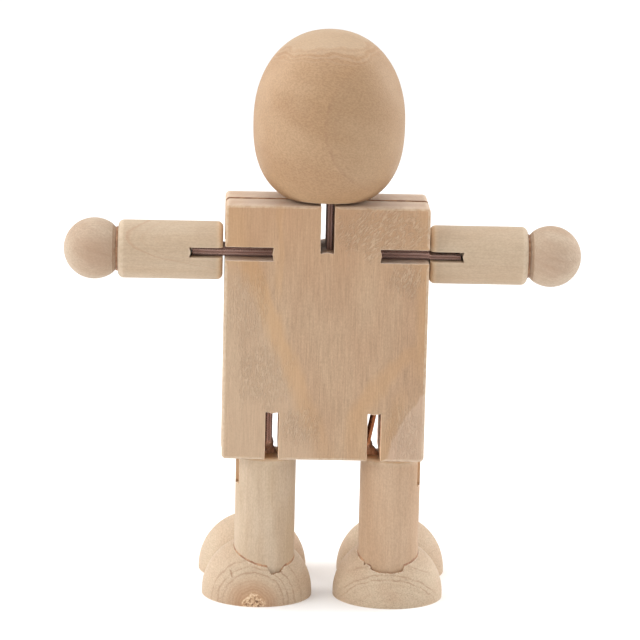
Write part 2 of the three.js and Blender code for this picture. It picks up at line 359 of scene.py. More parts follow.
class Graph:
    """A node tree with short calls for the nodes that the finishes use."""

    def __init__(self, tree: NodeTree) -> None:
        """Keeps the tree that the nodes go into."""
        self.tree = tree

    def node(self, kind: str, **settings: object) -> Node:
        """Adds a node.

        Args:
            kind: the node's type without its ShaderNode beginning.
            settings: properties to set on it.

        Returns:
            The node.
        """
        node = self.tree.nodes.new("ShaderNode" + kind)
        for name, value in settings.items():
            setattr(node, name, value)
        return node

    def feed(self, socket: Socket, value: object) -> None:
        """Links a socket to an input, or sets the input to a plain value; None leaves it alone."""
        if isinstance(value, Socket):
            self.tree.links.new(value, socket)
        elif value is not None:
            socket.default_value = value

    def fill(self, node: Node, *values: object) -> Socket:
        """Feeds the first inputs of a node in order and returns its first output."""
        for socket, value in zip(node.inputs, values):
            self.feed(socket, value)
        return node.outputs[0]

    def math(self, operation: str, a: object, b: object = None, c: object = None) -> Socket:
        """Adds a Math node; each input is a socket or a number."""
        return self.fill(self.node("Math", operation=operation), a, b, c)

    def times(self, a: object, b: object) -> Socket:
        """The product of two numbers."""
        return self.math("MULTIPLY", a, b)

    def plus(self, a: object, b: object) -> Socket:
        """The sum of two numbers."""
        return self.math("ADD", a, b)

    def minus(self, a: object, b: object) -> Socket:
        """The difference of two numbers."""
        return self.math("SUBTRACT", a, b)

    def line(self, a: object, slope: object, rise: object) -> Socket:
        """A number times a slope, plus a rise."""
        return self.math("MULTIPLY_ADD", a, slope, rise)

    def gap(self, a: object, b: object) -> Socket:
        """How far apart two numbers lie."""
        return self.math("ABSOLUTE", self.minus(a, b))

    def swell(self, angle: Socket) -> Socket:
        """A wave from 0 to 1 over an angle in radians."""
        return self.line(self.math("SINE", angle), 0.5, 0.5)

    def vector(self, operation: str, a: object, b: object = None) -> Socket:
        """Adds a Vector Math node and returns its vector."""
        return self.fill(self.node("VectorMath", operation=operation), a, b)

    def length(self, vector: Socket) -> Socket:
        """The length of a vector."""
        node = self.node("VectorMath", operation="LENGTH")
        self.fill(node, vector)
        return node.outputs["Value"]

    def scaled(self, vector: Socket, x: float = 1.0, y: float = 1.0, z: float = 1.0) -> Socket:
        """A vector with each of its parts scaled by a number of its own."""
        return self.vector("MULTIPLY", vector, (x, y, z))

    def place(self) -> Socket:
        """The object's own coordinates in millimetres."""
        return self.scaled(self.node("TexCoord").outputs["Object"], 1 / MM, 1 / MM, 1 / MM)

    def parts(self, vector: Socket) -> list[Socket]:
        """The X, Y and Z of a vector."""
        node = self.node("SeparateXYZ")
        self.fill(node, vector)
        return list(node.outputs)

    def joined(self, x: Socket, y: Socket) -> Socket:
        """A vector of an X and a Y."""
        return self.fill(self.node("CombineXYZ"), x, y)

    def texture(self, vector: Socket, scale: float, detail: float, rough: float) -> Node:
        """Adds a Noise Texture node.

        Args:
            vector: where the noise is read.
            scale: its scale.
            detail: its octaves.
            rough: the strength of the finer octaves.

        Returns:
            The node; its outputs are Fac and Color.
        """
        node = self.node("TexNoise")
        for name, value in (("Vector", vector), ("Scale", scale), ("Detail", detail), ("Roughness", rough)):
            self.feed(node.inputs[name], value)
        return node

    def noise(self, vector: Socket, scale: float, detail: float, rough: float = 0.5) -> Socket:
        """Noise from 0 to 1; see texture."""
        return self.texture(vector, scale, detail, rough).outputs["Fac"]

    def jog(self, vector: Socket, scale: float, detail: float, rough: float = 0.5) -> Socket:
        """Three noises as one vector with its middle at zero; see texture."""
        node = self.texture(vector, scale, detail, rough)
        return self.vector("SUBTRACT", node.outputs["Color"], (0.5, 0.5, 0.5))

    def spread(
        self, value: object, low: float, high: float, out_low: float = 0.0, out_high: float = 1.0
    ) -> Socket:
        """Eased map of a value's range onto another range.

        Args:
            value: the input.
            low: input that gives out_low.
            high: input that gives out_high.
            out_low: first result.
            out_high: last result.

        Returns:
            The result's socket.
        """
        node = self.node("MapRange", interpolation_type="SMOOTHSTEP", clamp=True)
        return self.fill(node, value, low, high, out_low, out_high)

    def ramp(self, value: Socket, stops: Sequence[tuple[float, float]]) -> Socket:
        """A grey colour ramp given as (place, brightness) stops."""
        node = self.node("ValToRGB")
        elements = node.color_ramp.elements
        while len(elements) < len(stops):
            elements.new(0.5)
        for element, (place, grey) in zip(elements, stops):
            element.position = place
            element.color = (grey, grey, grey, 1)
        return self.fill(node, value)

    def mix(self, share: object, a: object, b: object, blend: str = "MIX") -> Socket:
        """Mixes two colours.

        Args:
            share: how much of the second colour shows.
            a: first colour.
            b: second colour.
            blend: Blender's name of the way of mixing.

        Returns:
            The mixed colour's socket.
        """
        node = self.node("Mix", data_type="RGBA", blend_type=blend)
        for index, value in zip((0, 6, 7), (share, a, b)):
            self.feed(node.inputs[index], value)
        return node.outputs[2]

    def group(self, group: NodeTree, **inputs: object) -> bpy.types.NodeOutputs:
        """Places a node group with these inputs and returns its outputs."""
        node = self.node("Group", node_tree=group)
        for name, value in inputs.items():
            self.feed(node.inputs[name], value)
        return node.outputs


class Effect:
    """A shader node group, built once and then placed wherever it is called for.

    Its inputs are numbers or vectors, as their default values say; None stands for a vector with no
    default. Its outputs are numbers.
    """

    title = "effect"
    inputs: dict[str, Sequence[float] | float | None] = {}
    outputs: tuple[str, ...] = ()

    @classmethod
    def tree(cls) -> NodeTree:
        """Returns the group's tree, built on the first call."""
        found = bpy.data.node_groups.get(cls.title)
        if found:
            return found
        tree = bpy.data.node_groups.new(cls.title, "ShaderNodeTree")
        for name, value in cls.inputs.items():
            kind = "NodeSocketFloat" if isinstance(value, float) else "NodeSocketVector"
            socket = tree.interface.new_socket(name, in_out="INPUT", socket_type=kind)
            if value is not None:
                socket.default_value = value
        for name in cls.outputs:
            tree.interface.new_socket(name, in_out="OUTPUT", socket_type="NodeSocketFloat")
        graph = Graph(tree)
        given = tree.nodes.new("NodeGroupInput")
        made = cls.build(graph, {name: given.outputs[name] for name in cls.inputs})
        result = tree.nodes.new("NodeGroupOutput")
        for name, socket in made.items():
            graph.feed(result.inputs[name], socket)
        return tree

    @classmethod
    def build(cls, graph: Graph, given: Sockets) -> Sockets:
        """Fills the group.

        Args:
            graph: the group's graph.
            given: its inputs by name.

        Returns:
            Its outputs by name.
        """
        raise NotImplementedError


class WoodFigure(Effect):
    """Growth rings, fibre, dark flecks and slow tone of wood whose grain runs along Z, in millimetres."""

    title = "wood_figure"
    inputs = {"Place": None, "Spacing": 1.6, "Wander": 1.5}
    outputs = ("Rings", "Fibre", "Flecks", "Tone", "Mottle")

    @classmethod
    def build(cls, graph: Graph, given: Sockets) -> Sockets:
        """Fills the group; see Effect.build."""
        place = given["Place"]
        wander = graph.node("VectorMath", operation="SCALE")
        graph.feed(wander.inputs[0], graph.jog(graph.scaled(place, z=0.22), 0.085, 2.0))
        graph.feed(wander.inputs["Scale"], given["Wander"])
        bent = graph.vector("ADD", place, wander.outputs[0])
        years = graph.math("DIVIDE", graph.length(graph.scaled(bent, z=0.0)), given["Spacing"])
        line = graph.ramp(graph.math("FRACT", years), ((0.0, 0.0), (0.5, 0.06), (0.9, 1.0), (1.0, 0.0)))
        luck = graph.node("TexWhiteNoise", noise_dimensions="1D")
        graph.feed(luck.inputs["W"], graph.math("FLOOR", years))
        force = graph.spread(luck.outputs["Value"], 0.0, 1.0, 0.3, 1.0)
        fleck = graph.noise(graph.scaled(place, z=0.16), 3.1, 2.0, 0.45)
        tone = graph.noise(graph.scaled(place, z=0.3), 0.14, 3.0)
        mottle = graph.noise(graph.scaled(place, z=0.6), 3.3, 3.0, 0.7)
        return {
            "Rings": graph.times(line, force),
            "Fibre": graph.noise(graph.scaled(place, z=0.045), 3.6, 4.0, 0.62),
            "Flecks": graph.spread(fleck, 0.6, 0.74),
            "Tone": graph.spread(tone, 0.3, 0.7),
            "Mottle": graph.spread(mottle, 0.32, 0.68),
        }


class EndGrain(Effect):
    """The speckle of cut fibre ends and the fine rays of an end-grain face, in millimetres."""

    title = "end_grain"
    inputs = {"Place": None, "Facing": 0.0}
    outputs = ("Speckle", "Rays")

    @classmethod
    def build(cls, graph: Graph, given: Sockets) -> Sockets:
        """Fills the group; see Effect.build."""
        facing = given["Facing"]
        speckle = graph.noise(graph.scaled(given["Place"], z=0.12), 4.5, 3.0, 0.7)
        x, y, z = graph.parts(given["Place"])
        spokes = graph.joined(graph.times(graph.math("ARCTAN2", y, x), 26.0), graph.times(z, 0.1))
        rays = graph.noise(spokes, 1.0, 2.0, 0.6)
        return {
            "Speckle": graph.times(graph.spread(speckle, 0.52, 0.72), facing),
            "Rays": graph.times(graph.spread(rays, 0.5, 0.75), facing),
        }


class TornPatch(Effect):
    """A patch where the saw or plane tore the fibre: where it lies and how its fuzz rises."""

    title = "torn_patch"
    inputs = {"Place": None, "Middle": (0.0, 0.0, 0.0), "Reach": (5.0, 5.0, 5.0), "Lean": 0.0}
    outputs = ("Mask", "Fuzz")

    @classmethod
    def build(cls, graph: Graph, given: Sockets) -> Sockets:
        """Fills the group; see Effect.build."""
        place = given["Place"]
        inside = graph.vector("DIVIDE", graph.vector("SUBTRACT", place, given["Middle"]), given["Reach"])
        ragged = graph.noise(graph.scaled(place, z=0.35), 0.55, 4.0, 0.65)
        border = graph.plus(graph.length(inside), graph.times(graph.minus(ragged, 0.5), 1.9))
        mask = graph.spread(border, 1.1, 0.45)
        lean = graph.node("VectorRotate", rotation_type="Y_AXIS")
        graph.feed(lean.inputs["Vector"], place)
        graph.feed(lean.inputs["Angle"], given["Lean"])
        fuzz = graph.noise(graph.scaled(lean.outputs[0], z=0.24), 4.4, 2.0, 0.6)
        return {"Mask": mask, "Fuzz": graph.times(graph.spread(fuzz, 0.42, 0.62), mask)}


class Handling(Effect):
    """Wear on outer edges and painted shade darkening the inner corners, broken up so that neither is even.
    """

    title = "handling"
    inputs = {"Place": None, "Bend": 0.0}
    outputs = ("Worn", "Grime", "Smudge")

    @classmethod
    def build(cls, graph: Graph, given: Sockets) -> Sockets:
        """Fills the group; see Effect.build."""
        often = graph.spread(graph.noise(given["Place"], 0.9, 3.0, 0.6), 0.32, 0.62, 0.25, 1.0)
        smudge = graph.noise(given["Place"], 0.22, 4.0, 0.62)
        return {
            "Worn": graph.times(graph.spread(given["Bend"], 0.08, 0.5), often),
            # Grime is painted shade: darker where the surface bends into an inner corner or crease.
            "Grime": graph.times(graph.spread(given["Bend"], -0.05, -0.5), often),
            "Smudge": graph.spread(smudge, 0.52, 0.72),
        }


class Weave(Effect):
    """The ribs and crossing threads of woven elastic; the place is millimetres across and along it."""

    title = "elastic_weave"
    inputs = {"Place": None, "Rib": 0.75, "Pick": 0.5}
    outputs = ("Rib", "Thread", "Fray")

    @classmethod
    def build(cls, graph: Graph, given: Sockets) -> Sockets:
        """Fills the group; see Effect.build."""
        x, y, _ = graph.parts(given["Place"])
        ribs = graph.math("DIVIDE", x, given["Rib"])
        rib = graph.swell(graph.times(ribs, math.tau))
        stagger = graph.times(graph.math("MODULO", graph.math("FLOOR", ribs), 2.0), 0.5)
        pick = graph.plus(graph.math("DIVIDE", y, given["Pick"]), stagger)
        thread = graph.swell(graph.times(pick, math.tau))
        fray = graph.noise(given["Place"], 6.0, 3.0, 0.7)
        return {"Rib": rib, "Thread": graph.times(thread, rib), "Fray": graph.spread(fray, 0.45, 0.7)}


# Finishes


def new_material(name: str) -> tuple[Material, Graph, Node]:
    """Makes a material with one Principled shader; gives it with its graph and its shader."""
    material = bpy.data.materials.new(name)
    material.use_nodes = True
    return material, Graph(material.node_tree), material.node_tree.nodes["Principled BSDF"]


@dataclass
class Coat:
    """A finish while it is built up: its colour, roughness and height at a place in millimetres."""

    graph: Graph
    place: Socket
    colour: Socket
    rough: Socket
    height: Socket

    def tint(self, colour: Sequence[float], mask: Socket, share: float | None = None) -> None:
        """Mixes in a colour.

        Args:
            colour: its screen values, 0 to 255.
            mask: where it shows, 0 to 1.
            share: how much of it shows there; None means all.
        """
        amount = mask if share is None else self.graph.times(mask, share)
        self.colour = self.graph.mix(amount, self.colour, srgb(colour))

    def dress(self, shader: Node, depth: float, strength: float) -> None:
        """Feeds a Principled shader.

        Args:
            shader: the shader.
            depth: what a height of 1 means, in metres.
            strength: how much of the height shows.
        """
        bump = self.graph.node("Bump")
        shape = (("Strength", strength), ("Distance", depth), ("Height", self.height))
        looks = (("Base Color", self.colour), ("Roughness", self.rough), ("Normal", bump.outputs[0]))
        for node, values in ((bump, shape), (shader, looks)):
            for name, value in values:
                self.graph.feed(node.inputs[name], value)


@dataclass(frozen=True)
class Wood:
    """A wood finish: its colours, how its grain lies in the piece and how strong each mark is."""

    name: str
    pale: Rgb
    warm: Rgb
    line: Rgb
    grain_turn: Rgb = (0.0, 0.0, 0.0)
    pith: Rgb = (14.0, -22.0, 0.0)
    ring_spacing: float = 1.9
    wander: float = 6.0
    ring_force: float = 0.35
    side_rings: float = 1.0
    fibre_force: float = 0.16
    fleck_force: float = 0.1
    mottle_force: float = 0.06
    end_force: float = 0.5
    end_face: Rgb = (206, 190, 172)
    end_share: float = 0.2
    rough: float = 0.62
    relief: float = 0.35
    worn: Rgb = (218, 200, 176)
    grime: Rgb = (124, 86, 58)
    smudge: Rgb = (140, 112, 88)

    def along_grain(self, graph: Graph, vector: Socket) -> Socket:
        """A vector turned so that the grain runs along its Z."""
        node = graph.node("VectorRotate", rotation_type="EULER_XYZ")
        graph.feed(node.inputs["Vector"], vector)
        graph.feed(node.inputs["Rotation"], [math.radians(angle) for angle in self.grain_turn])
        return node.outputs[0]

    def material(self) -> Material:
        """Builds the finish's material.

        Returns:
            The material, with colour, roughness and normal made from the object's own coordinates.
        """
        material, graph, shader = new_material(self.name)
        place = graph.place()
        grain = graph.vector("SUBTRACT", self.along_grain(graph, place), self.pith)
        normal = self.along_grain(graph, graph.node("TexCoord").outputs["Normal"])
        facing = graph.spread(graph.math("ABSOLUTE", graph.parts(normal)[2]), 0.35, 0.9)
        figure = graph.group(WoodFigure.tree(), Place=grain, Spacing=self.ring_spacing, Wander=self.wander)
        ends = graph.group(EndGrain.tree(), Place=grain, Facing=facing)
        bend = graph.node("Attribute", attribute_name=EDGE_MAP).outputs["Fac"]
        wear_and_shade = graph.group(Handling.tree(), Place=place, Bend=bend)

        height = graph.line(figure["Rings"], -0.35, figure["Fibre"])
        height = graph.minus(height, graph.times(figure["Flecks"], 0.5))
        height = graph.minus(height, graph.times(ends["Speckle"], 0.6))
        rough = graph.line(figure["Fibre"], 0.16, self.rough - 0.08)
        colour = graph.mix(figure["Tone"], srgb(self.pale), srgb(self.warm))
        coat = Coat(graph, place, colour, rough, height)
        side = graph.spread(facing, 0.0, 1.0, self.side_rings * self.ring_force, self.ring_force)
        coat.tint(self.line, graph.times(figure["Rings"], side))
        fibre = graph.spread(figure["Fibre"], 0.3, 0.7, 1.0 + self.fibre_force / 2, 1.0 - self.fibre_force)
        mottle = graph.spread(figure["Mottle"], 0.0, 1.0, 1.0 - self.mottle_force, 1.0 + self.mottle_force)
        grey = graph.times(fibre, mottle)
        channels = [graph.math("POWER", grey, power) for power in (1.0, 1.03, 1.1)]
        shade = graph.fill(graph.node("CombineColor"), *channels)
        coat.colour = graph.mix(1.0, coat.colour, shade, "MULTIPLY")
        coat.tint(self.end_face, facing, self.end_share)
        coat.tint([c * 0.66 for c in self.line], figure["Flecks"], self.fleck_force)
        coat.tint([c * 0.62 for c in self.line], ends["Speckle"], self.end_force)
        coat.tint(self.pale, ends["Rays"], 0.22)
        self.marks(coat)
        coat.tint(self.worn, wear_and_shade["Worn"], 0.4)
        # painted shade: the inner corners and creases are darkened brown from the bend map
        coat.tint(self.grime, wear_and_shade["Grime"], 0.45)
        coat.tint(self.smudge, wear_and_shade["Smudge"], 0.06)
        coat.dress(shader, 0.09 * MM, self.relief)
        shader.inputs["Specular IOR Level"].default_value = 0.35
        return material

    def marks(self, coat: Coat) -> None:
        """Adds the marks of one piece to the coat; plain wood has none."""


@dataclass(frozen=True)
class TorsoWood(Wood):
    """The torso's board: a forked streak of heartwood, a pink corner and patches of torn fibre."""

    board_middle: float = 0.65
    board_bottom: float = 29.9
    board_height: float = 51.0
    board_front: float = -16.67
    hip_kerfs: tuple[float, ...] = ()
    kerf_wall: float = 1.36
    kerf_top: float = 39.5

    def branch(self, graph: Graph, x: Socket, u: Socket, bow: Rgb, width: float) -> Socket:
        """One branch of the streak.

        Args:
            graph: the material's graph.
            x: distance from the board's middle, in millimetres.
            u: height as a share of the board.
            bow: the branch's middle line, as a constant, a slope and a curve over the height.
            width: half its width in millimetres.

        Returns:
            How strongly the branch shows, 0 to 1.
        """
        middle = graph.line(graph.line(u, bow[2], bow[1]), u, bow[0])
        return graph.spread(graph.gap(x, middle), width, width * 0.2)

    def marks(self, coat: Coat) -> None:
        """Adds the streak, the corner, the torn patches and painted light on the hip kerfs' walls; see
        Wood.marks.
        """
        graph, place = coat.graph, coat.place
        jog = graph.jog(graph.scaled(place, z=0.25), 0.35, 3.0, 0.6)
        x, y, z = graph.parts(graph.vector("ADD", place, graph.scaled(jog, 3.4, 0.0, 2.0)))
        x = graph.minus(x, self.board_middle)
        u = graph.math("DIVIDE", graph.minus(z, self.board_bottom), self.board_height)
        streak: object = 0.0
        for bow, width, strength in (
            ((1.0, -21.0, 0.0), 3.0, ((0.0, 0.2), (0.2, 0.7), (0.45, 1.0), (0.76, 0.9), (0.86, 0.1))),
            ((7.2, -17.0, 95.0), 3.4, ((0.0, 0.3), (0.2, 0.75), (0.35, 0.6), (0.5, 0.4))),
            ((11.2, 15.0, 0.0), 2.2, ((0.0, 0.6), (0.2, 0.5), (0.3, 0.0))),
            ((19.3, 0.0, 0.0), 2.8, ((0.3, 0.0), (0.45, 0.8), (0.75, 0.6), (0.95, 0.2))),
            ((-18.0, 0.0, 0.0), 3.6, ((0.72, 0.0), (0.82, 0.7), (1.0, 0.5))),
            ((-9.0, 0.0, 0.0), 0.9, ((0.6, 0.0), (0.7, 0.5), (0.9, 0.4))),
        ):
            part = graph.times(self.branch(graph, x, u, bow, width), graph.ramp(u, strength))
            streak = graph.math("MAXIMUM", streak, part)
        beside = graph.minus(x, graph.times(graph.times(u, u), -26.0))
        sap = graph.times(graph.spread(beside, 1.0, -4.0), graph.spread(u, 0.85, 0.62))
        coat.tint((192, 168, 143), sap, 0.38)
        coat.tint((180, 138, 100), graph.spread(u, 0.55, 1.0), 0.4)
        coat.tint((186, 142, 92), streak, 0.4)
        edge = graph.line(graph.line(u, 62.0, 10.0), u, 12.4)
        corner = graph.line(graph.minus(y, self.board_front), -0.45, graph.minus(x, edge))
        coat.tint((194, 168, 148), graph.spread(corner, -0.3, 0.5), 0.5)
        for middle, reach, lean, force in (
            ((11.5, -16.7, 75.5), (10.5, 5.0, 6.5), -0.75, 0.8),
            ((-14.8, -16.7, 60.0), (5.0, 5.0, 9.5), 0.0, 0.4),
            ((-11.5, -16.7, 47.0), (6.0, 5.0, 7.5), -0.1, 0.6),
            ((-4.0, -16.7, 36.5), (4.4, 5.0, 4.6), -0.3, 0.65),
            ((16.2, -16.7, 66.5), (3.6, 5.0, 4.0), -0.4, 0.8),
            ((17.0, -16.7, 36.0), (4.0, 5.0, 6.5), 0.0, 0.55),
            ((6.0, -1.2, 52.0), (6.0, 5.0, 9.0), 0.0, 0.6),
        ):
            torn = graph.group(TornPatch.tree(), Place=place, Middle=middle, Reach=reach, Lean=lean)
            coat.tint((208, 184, 158), torn["Fuzz"], 0.42 * force)
            coat.tint((154, 114, 84), graph.minus(torn["Mask"], torn["Fuzz"]), 0.15 * force)
            coat.rough = graph.line(torn["Mask"], 0.12, coat.rough)
            coat.height = graph.line(torn["Fuzz"], 5.5 * force, coat.height)
        x, _, z = graph.parts(place)
        # painted light: the hip kerfs' walls, deep in shade, are coloured bright and warm
        below = graph.spread(z, self.kerf_top, self.kerf_top - 0.3, 0.0, 0.65)
        for middle in self.hip_kerfs:
            wall = graph.spread(graph.gap(x, middle), self.kerf_wall + 0.04, self.kerf_wall)
            coat.tint((246, 204, 164), graph.times(wall, below))


@dataclass(frozen=True)
class HeadWood(Wood):
    """The head's wood: close rings across the crown and one wide growth ring on its side."""

    crown_height: float = 113.6
    ring_middle: tuple[float, float] = (13.1, 97.2)
    ring_radius: float = 13.6

    def marks(self, coat: Coat) -> None:
        """Adds the crown's bands and the wide ring; see Wood.marks."""
        graph = coat.graph
        x, _, z = graph.parts(coat.place)
        drift = graph.noise(coat.place, 0.12, 2.0)
        ripple = graph.noise(graph.scaled(coat.place, z=2.0), 0.26, 1.5)
        level = graph.line(drift, 3.4, graph.line(ripple, 1.9, graph.line(x, -0.04, z)))
        above = graph.spread(level, self.crown_height - 0.6, self.crown_height + 1.4)
        coat.tint((190, 172, 148), above, 0.36)
        away = graph.gap(level, self.crown_height - 0.5)
        wave = graph.swell(graph.times(level, 6.6))
        bands = graph.times(graph.spread(wave, 0.35, 1.0), graph.spread(away, 2.2, 0.6))
        coat.tint((202, 182, 160), bands, 0.14)
        dips = graph.times(graph.spread(wave, 0.5, 0.0), graph.spread(away, 2.0, 0.5))
        coat.tint((156, 116, 92), dips, 0.11)
        flat = graph.joined(graph.minus(x, self.ring_middle[0]), graph.minus(z, self.ring_middle[1]))
        depth = graph.minus(self.ring_radius + 0.8, graph.line(drift, 1.6, graph.length(flat)))
        coat.tint((150, 126, 98), graph.spread(depth, -0.4, 1.2), 0.16)
        low = graph.spread(z, 108.5, 104.0, 0.25, 1.0)
        low = graph.times(low, graph.spread(ripple, 0.4, 0.6, 0.45, 1.0))
        for start, share in ((0.0, 0.26), (1.7, 0.12)):
            away = graph.minus(depth, start)
            line = graph.times(graph.spread(away, -0.3, 0.0), graph.spread(away, 1.1, 0.0))
            coat.tint((134, 100, 78), graph.times(graph.times(line, low), share))


@dataclass(frozen=True)
class ArmWood(Wood):
    """The arms' wood: arches of summer growth near the left arm's outer end, and painted light, paler and
    warmer, on the inner end beside the torso.
    """

    arch_tip: float = 38.6
    arch_height: float = 73.2
    arch_curve: float = 0.5
    arch_gap: float = 2.9
    middle: float = 0.65
    inner_end: float = 20.3

    def marks(self, coat: Coat) -> None:
        """Adds the arches and the painted light on the inner end; see Wood.marks."""
        graph = coat.graph
        jog = graph.jog(graph.scaled(coat.place, 0.5), 0.3, 3.0, 0.6)
        x, _, z = graph.parts(graph.vector("ADD", coat.place, graph.scaled(jog, 2.6, 0.0, 1.2)))
        rise = graph.minus(z, self.arch_height)
        bow = graph.times(graph.times(rise, rise), self.arch_curve)
        front = graph.minus(graph.plus(self.arch_tip, x), bow)
        for index, share in ((0, 0.32), (1, 0.1), (2, 0.06)):
            away = graph.minus(front, index * self.arch_gap)
            line = graph.times(graph.spread(away, -0.25, 0.0), graph.spread(away, 0.9, 0.05))
            coat.tint((164, 124, 96), line, share)
        # painted light: the inner end is made paler and warmer to lift the shade beside the torso
        out = graph.gap(graph.parts(coat.place)[0], self.middle)
        coat.tint((238, 200, 150), graph.spread(out, self.inner_end + 1.7, self.inner_end + 0.1), 0.38)


@dataclass(frozen=True)
class HandWood(Wood):
    """The hands' wood: painted shade in brown on the shoulder beside the arm, with a red-brown cheek to the
    camera.
    """

    shoulder_shade_edge: float = 41.35
    cheek: tuple[float, float] = (44.4, 70.2)

    def marks(self, coat: Coat) -> None:
        """Adds the painted shade on the shoulder and the cheek; see Wood.marks."""
        graph = coat.graph
        x, _, z = graph.parts(coat.place)
        out = graph.math("ABSOLUTE", x)
        # painted shade: brown where the arm shades the ball's shoulder, deepest next to the flat
        shoulder_shade = graph.spread(out, self.shoulder_shade_edge + 0.3, self.shoulder_shade_edge - 0.15, 0.0, 0.3)
        deep = graph.spread(out, self.shoulder_shade_edge, self.shoulder_shade_edge - 1.0, 0.0, 0.35)
        reach = graph.length(graph.joined(graph.minus(out, self.cheek[0]), graph.minus(z, self.cheek[1])))
        uneven = graph.noise(graph.scaled(coat.place, 0.5), 0.45, 3.0, 0.6)
        reach = graph.plus(reach, graph.times(graph.minus(uneven, 0.5), 4.0))
        coat.tint((158, 126, 102), graph.times(graph.spread(reach, 5.6, 1.0), 0.42))
        coat.tint((150, 112, 84), graph.plus(shoulder_shade, deep))


@dataclass(frozen=True)
class LegWood(Wood):
    """A leg's wood: its top and the walls of its kerf are painted brighter and redder, as painted light in
    the shade of the kerf and the torso.
    """

    middle: tuple[float, float] = (0.0, 0.0)
    turn: float = 0.0
    half_kerf: float = 1.0
    kerf_floor: float = 24.0
    top: float = 29.6

    def marks(self, coat: Coat) -> None:
        """Paints light, brighter and redder, on the walls of the kerf and the top; see Wood.marks."""
        graph = coat.graph
        x, y, z = graph.parts(coat.place)
        along = graph.times(graph.minus(y, self.middle[1]), math.cos(self.turn))
        away = graph.line(graph.minus(x, self.middle[0]), math.sin(self.turn), along)
        wall = graph.spread(graph.math("ABSOLUTE", away), self.half_kerf + 0.06, self.half_kerf + 0.03)
        wall = graph.times(wall, graph.spread(z, self.kerf_floor - 0.4, self.kerf_floor))
        # painted light: the kerf walls and the top, which sit in shade, are coloured brighter
        coat.tint((250, 208, 164), wall, 0.55)
        coat.tint((248, 208, 158), graph.spread(z, self.top - 0.7, self.top - 0.15, 0.0, 0.5))


@dataclass(frozen=True)
class FootWood(Wood):
    """The feet's wood, cut across the grain: a brown core and the crumbled pith, where it has them."""

    core: float = 0.0
    decay: float = 0.0
    arcs: Sequence[float] = ()
    nick: tuple[float, float] = (-16.8, 6.0)
    nick_length: float = 1.5

    def marks(self, coat: Coat) -> None:
        """Adds single rings, the core, the crumbled pith and a short crack; see Wood.marks."""
        graph = coat.graph
        x, y, z = graph.parts(coat.place)
        flat = graph.joined(graph.minus(x, self.pith[0]), graph.plus(z, self.pith[1]))
        drift = graph.noise(coat.place, 0.4, 3.0, 0.6)
        distance = graph.plus(graph.length(flat), graph.times(graph.minus(drift, 0.5), 1.2))
        near = graph.spread(y, -10.5, -14.0)
        broken = graph.spread(graph.noise(coat.place, 0.7, 2.0, 0.6), 0.36, 0.56, 0.35, 1.0)
        for radius in self.arcs:
            ring = graph.times(graph.spread(graph.gap(distance, radius), 0.2, 0.03), near)
            coat.tint((146, 112, 86), graph.times(ring, broken), 0.5)
        if not self.core:
            return
        core = graph.spread(distance, self.core, self.core * 0.35)
        coat.tint((170, 128, 92), core, 0.6)
        coat.tint((140, 92, 54), graph.times(graph.swell(graph.times(distance, 11.0)), core), 0.3)
        crumb = graph.noise(coat.place, 2.1, 4.0, 0.7)
        pit = graph.times(graph.spread(distance, 2.4, 0.9), graph.spread(crumb, 0.5, 0.62))
        grit = graph.times(graph.spread(distance, 2.9, 1.8), graph.spread(crumb, 0.54, 0.36))
        coat.tint((196, 152, 112), graph.spread(distance, 2.8, 1.6), 0.5)
        coat.tint((78, 50, 34), pit, 0.8 * self.decay)
        coat.tint((234, 210, 178), grit, 0.8 * self.decay)
        coat.height = graph.line(pit, -5.0 * self.decay, coat.height)
        rise = graph.minus(z, self.nick[1])
        thin = graph.spread(graph.gap(graph.line(rise, 0.3, x), self.nick[0]), 0.22, 0.06)
        span = graph.math("ABSOLUTE", rise)
        crack = graph.times(thin, graph.spread(span, self.nick_length / 2, self.nick_length / 3))
        crack = graph.times(crack, graph.spread(y, -9.0, -10.0))
        coat.tint((136, 92, 58), crack, 0.5)
        coat.height = graph.line(crack, -4.0, coat.height)


@dataclass(frozen=True)
class Elastic:
    """The woven elastic of the straps."""

    name: str = "woven_elastic"
    face: Rgb = (198, 161, 150)
    deep: Rgb = (146, 109, 98)
    thread: Rgb = (222, 195, 185)
    turned: Rgb = (238, 184, 142)
    turn_light_share: float = 0.6

    def material(self) -> Material:
        """Builds the elastic from its weave map, with painted light making it paler at the height where the
        hip straps turn.
        """
        material, graph, shader = new_material(self.name)
        place = graph.node("Attribute", attribute_name=WEAVE_MAP).outputs["Vector"]
        weave = graph.group(Weave.tree(), Place=place)
        colour = graph.mix(weave["Rib"], srgb(self.deep), srgb(self.face))
        rough = graph.spread(weave["Fray"], 0.0, 1.0, 0.78, 0.92)
        height = graph.plus(weave["Rib"], graph.times(weave["Thread"], 0.6))
        coat = Coat(graph, place, colour, rough, height)
        coat.tint(self.thread, weave["Thread"], 0.45)
        coat.tint(self.deep, weave["Fray"], 0.25)
        # painted light: paler where the hip straps turn in the shade of their kerfs
        level = graph.parts(graph.place())[2]
        turn = graph.times(graph.spread(level, 33.2, 31.8), graph.spread(level, 28.6, 29.4))
        coat.tint(self.turned, turn, self.turn_light_share)
        coat.dress(shader, 0.16 * MM, 0.8)
        shader.inputs["Sheen Weight"].default_value = 0.25
        return material


@dataclass(frozen=True)
class Glue:
    """Dried glue and burnt wood in a joint."""

    name: str = "joint_glue"
    thin: Rgb = (180, 140, 106)
    thick: Rgb = (140, 98, 70)

    def material(self) -> Material:
        """Builds the glue's material: patches of thick and thin glue, glossier where it is thick."""
        material, graph, shader = new_material(self.name)
        place = graph.place()
        patch = graph.noise(place, 0.8, 4.0, 0.6)
        amount = graph.spread(patch, 0.36, 0.6)
        colour = graph.mix(amount, srgb(self.thin), srgb(self.thick))
        Coat(graph, place, colour, graph.line(amount, -0.25, 0.7), patch).dress(shader, 0.1 * MM, 0.6)
        return material


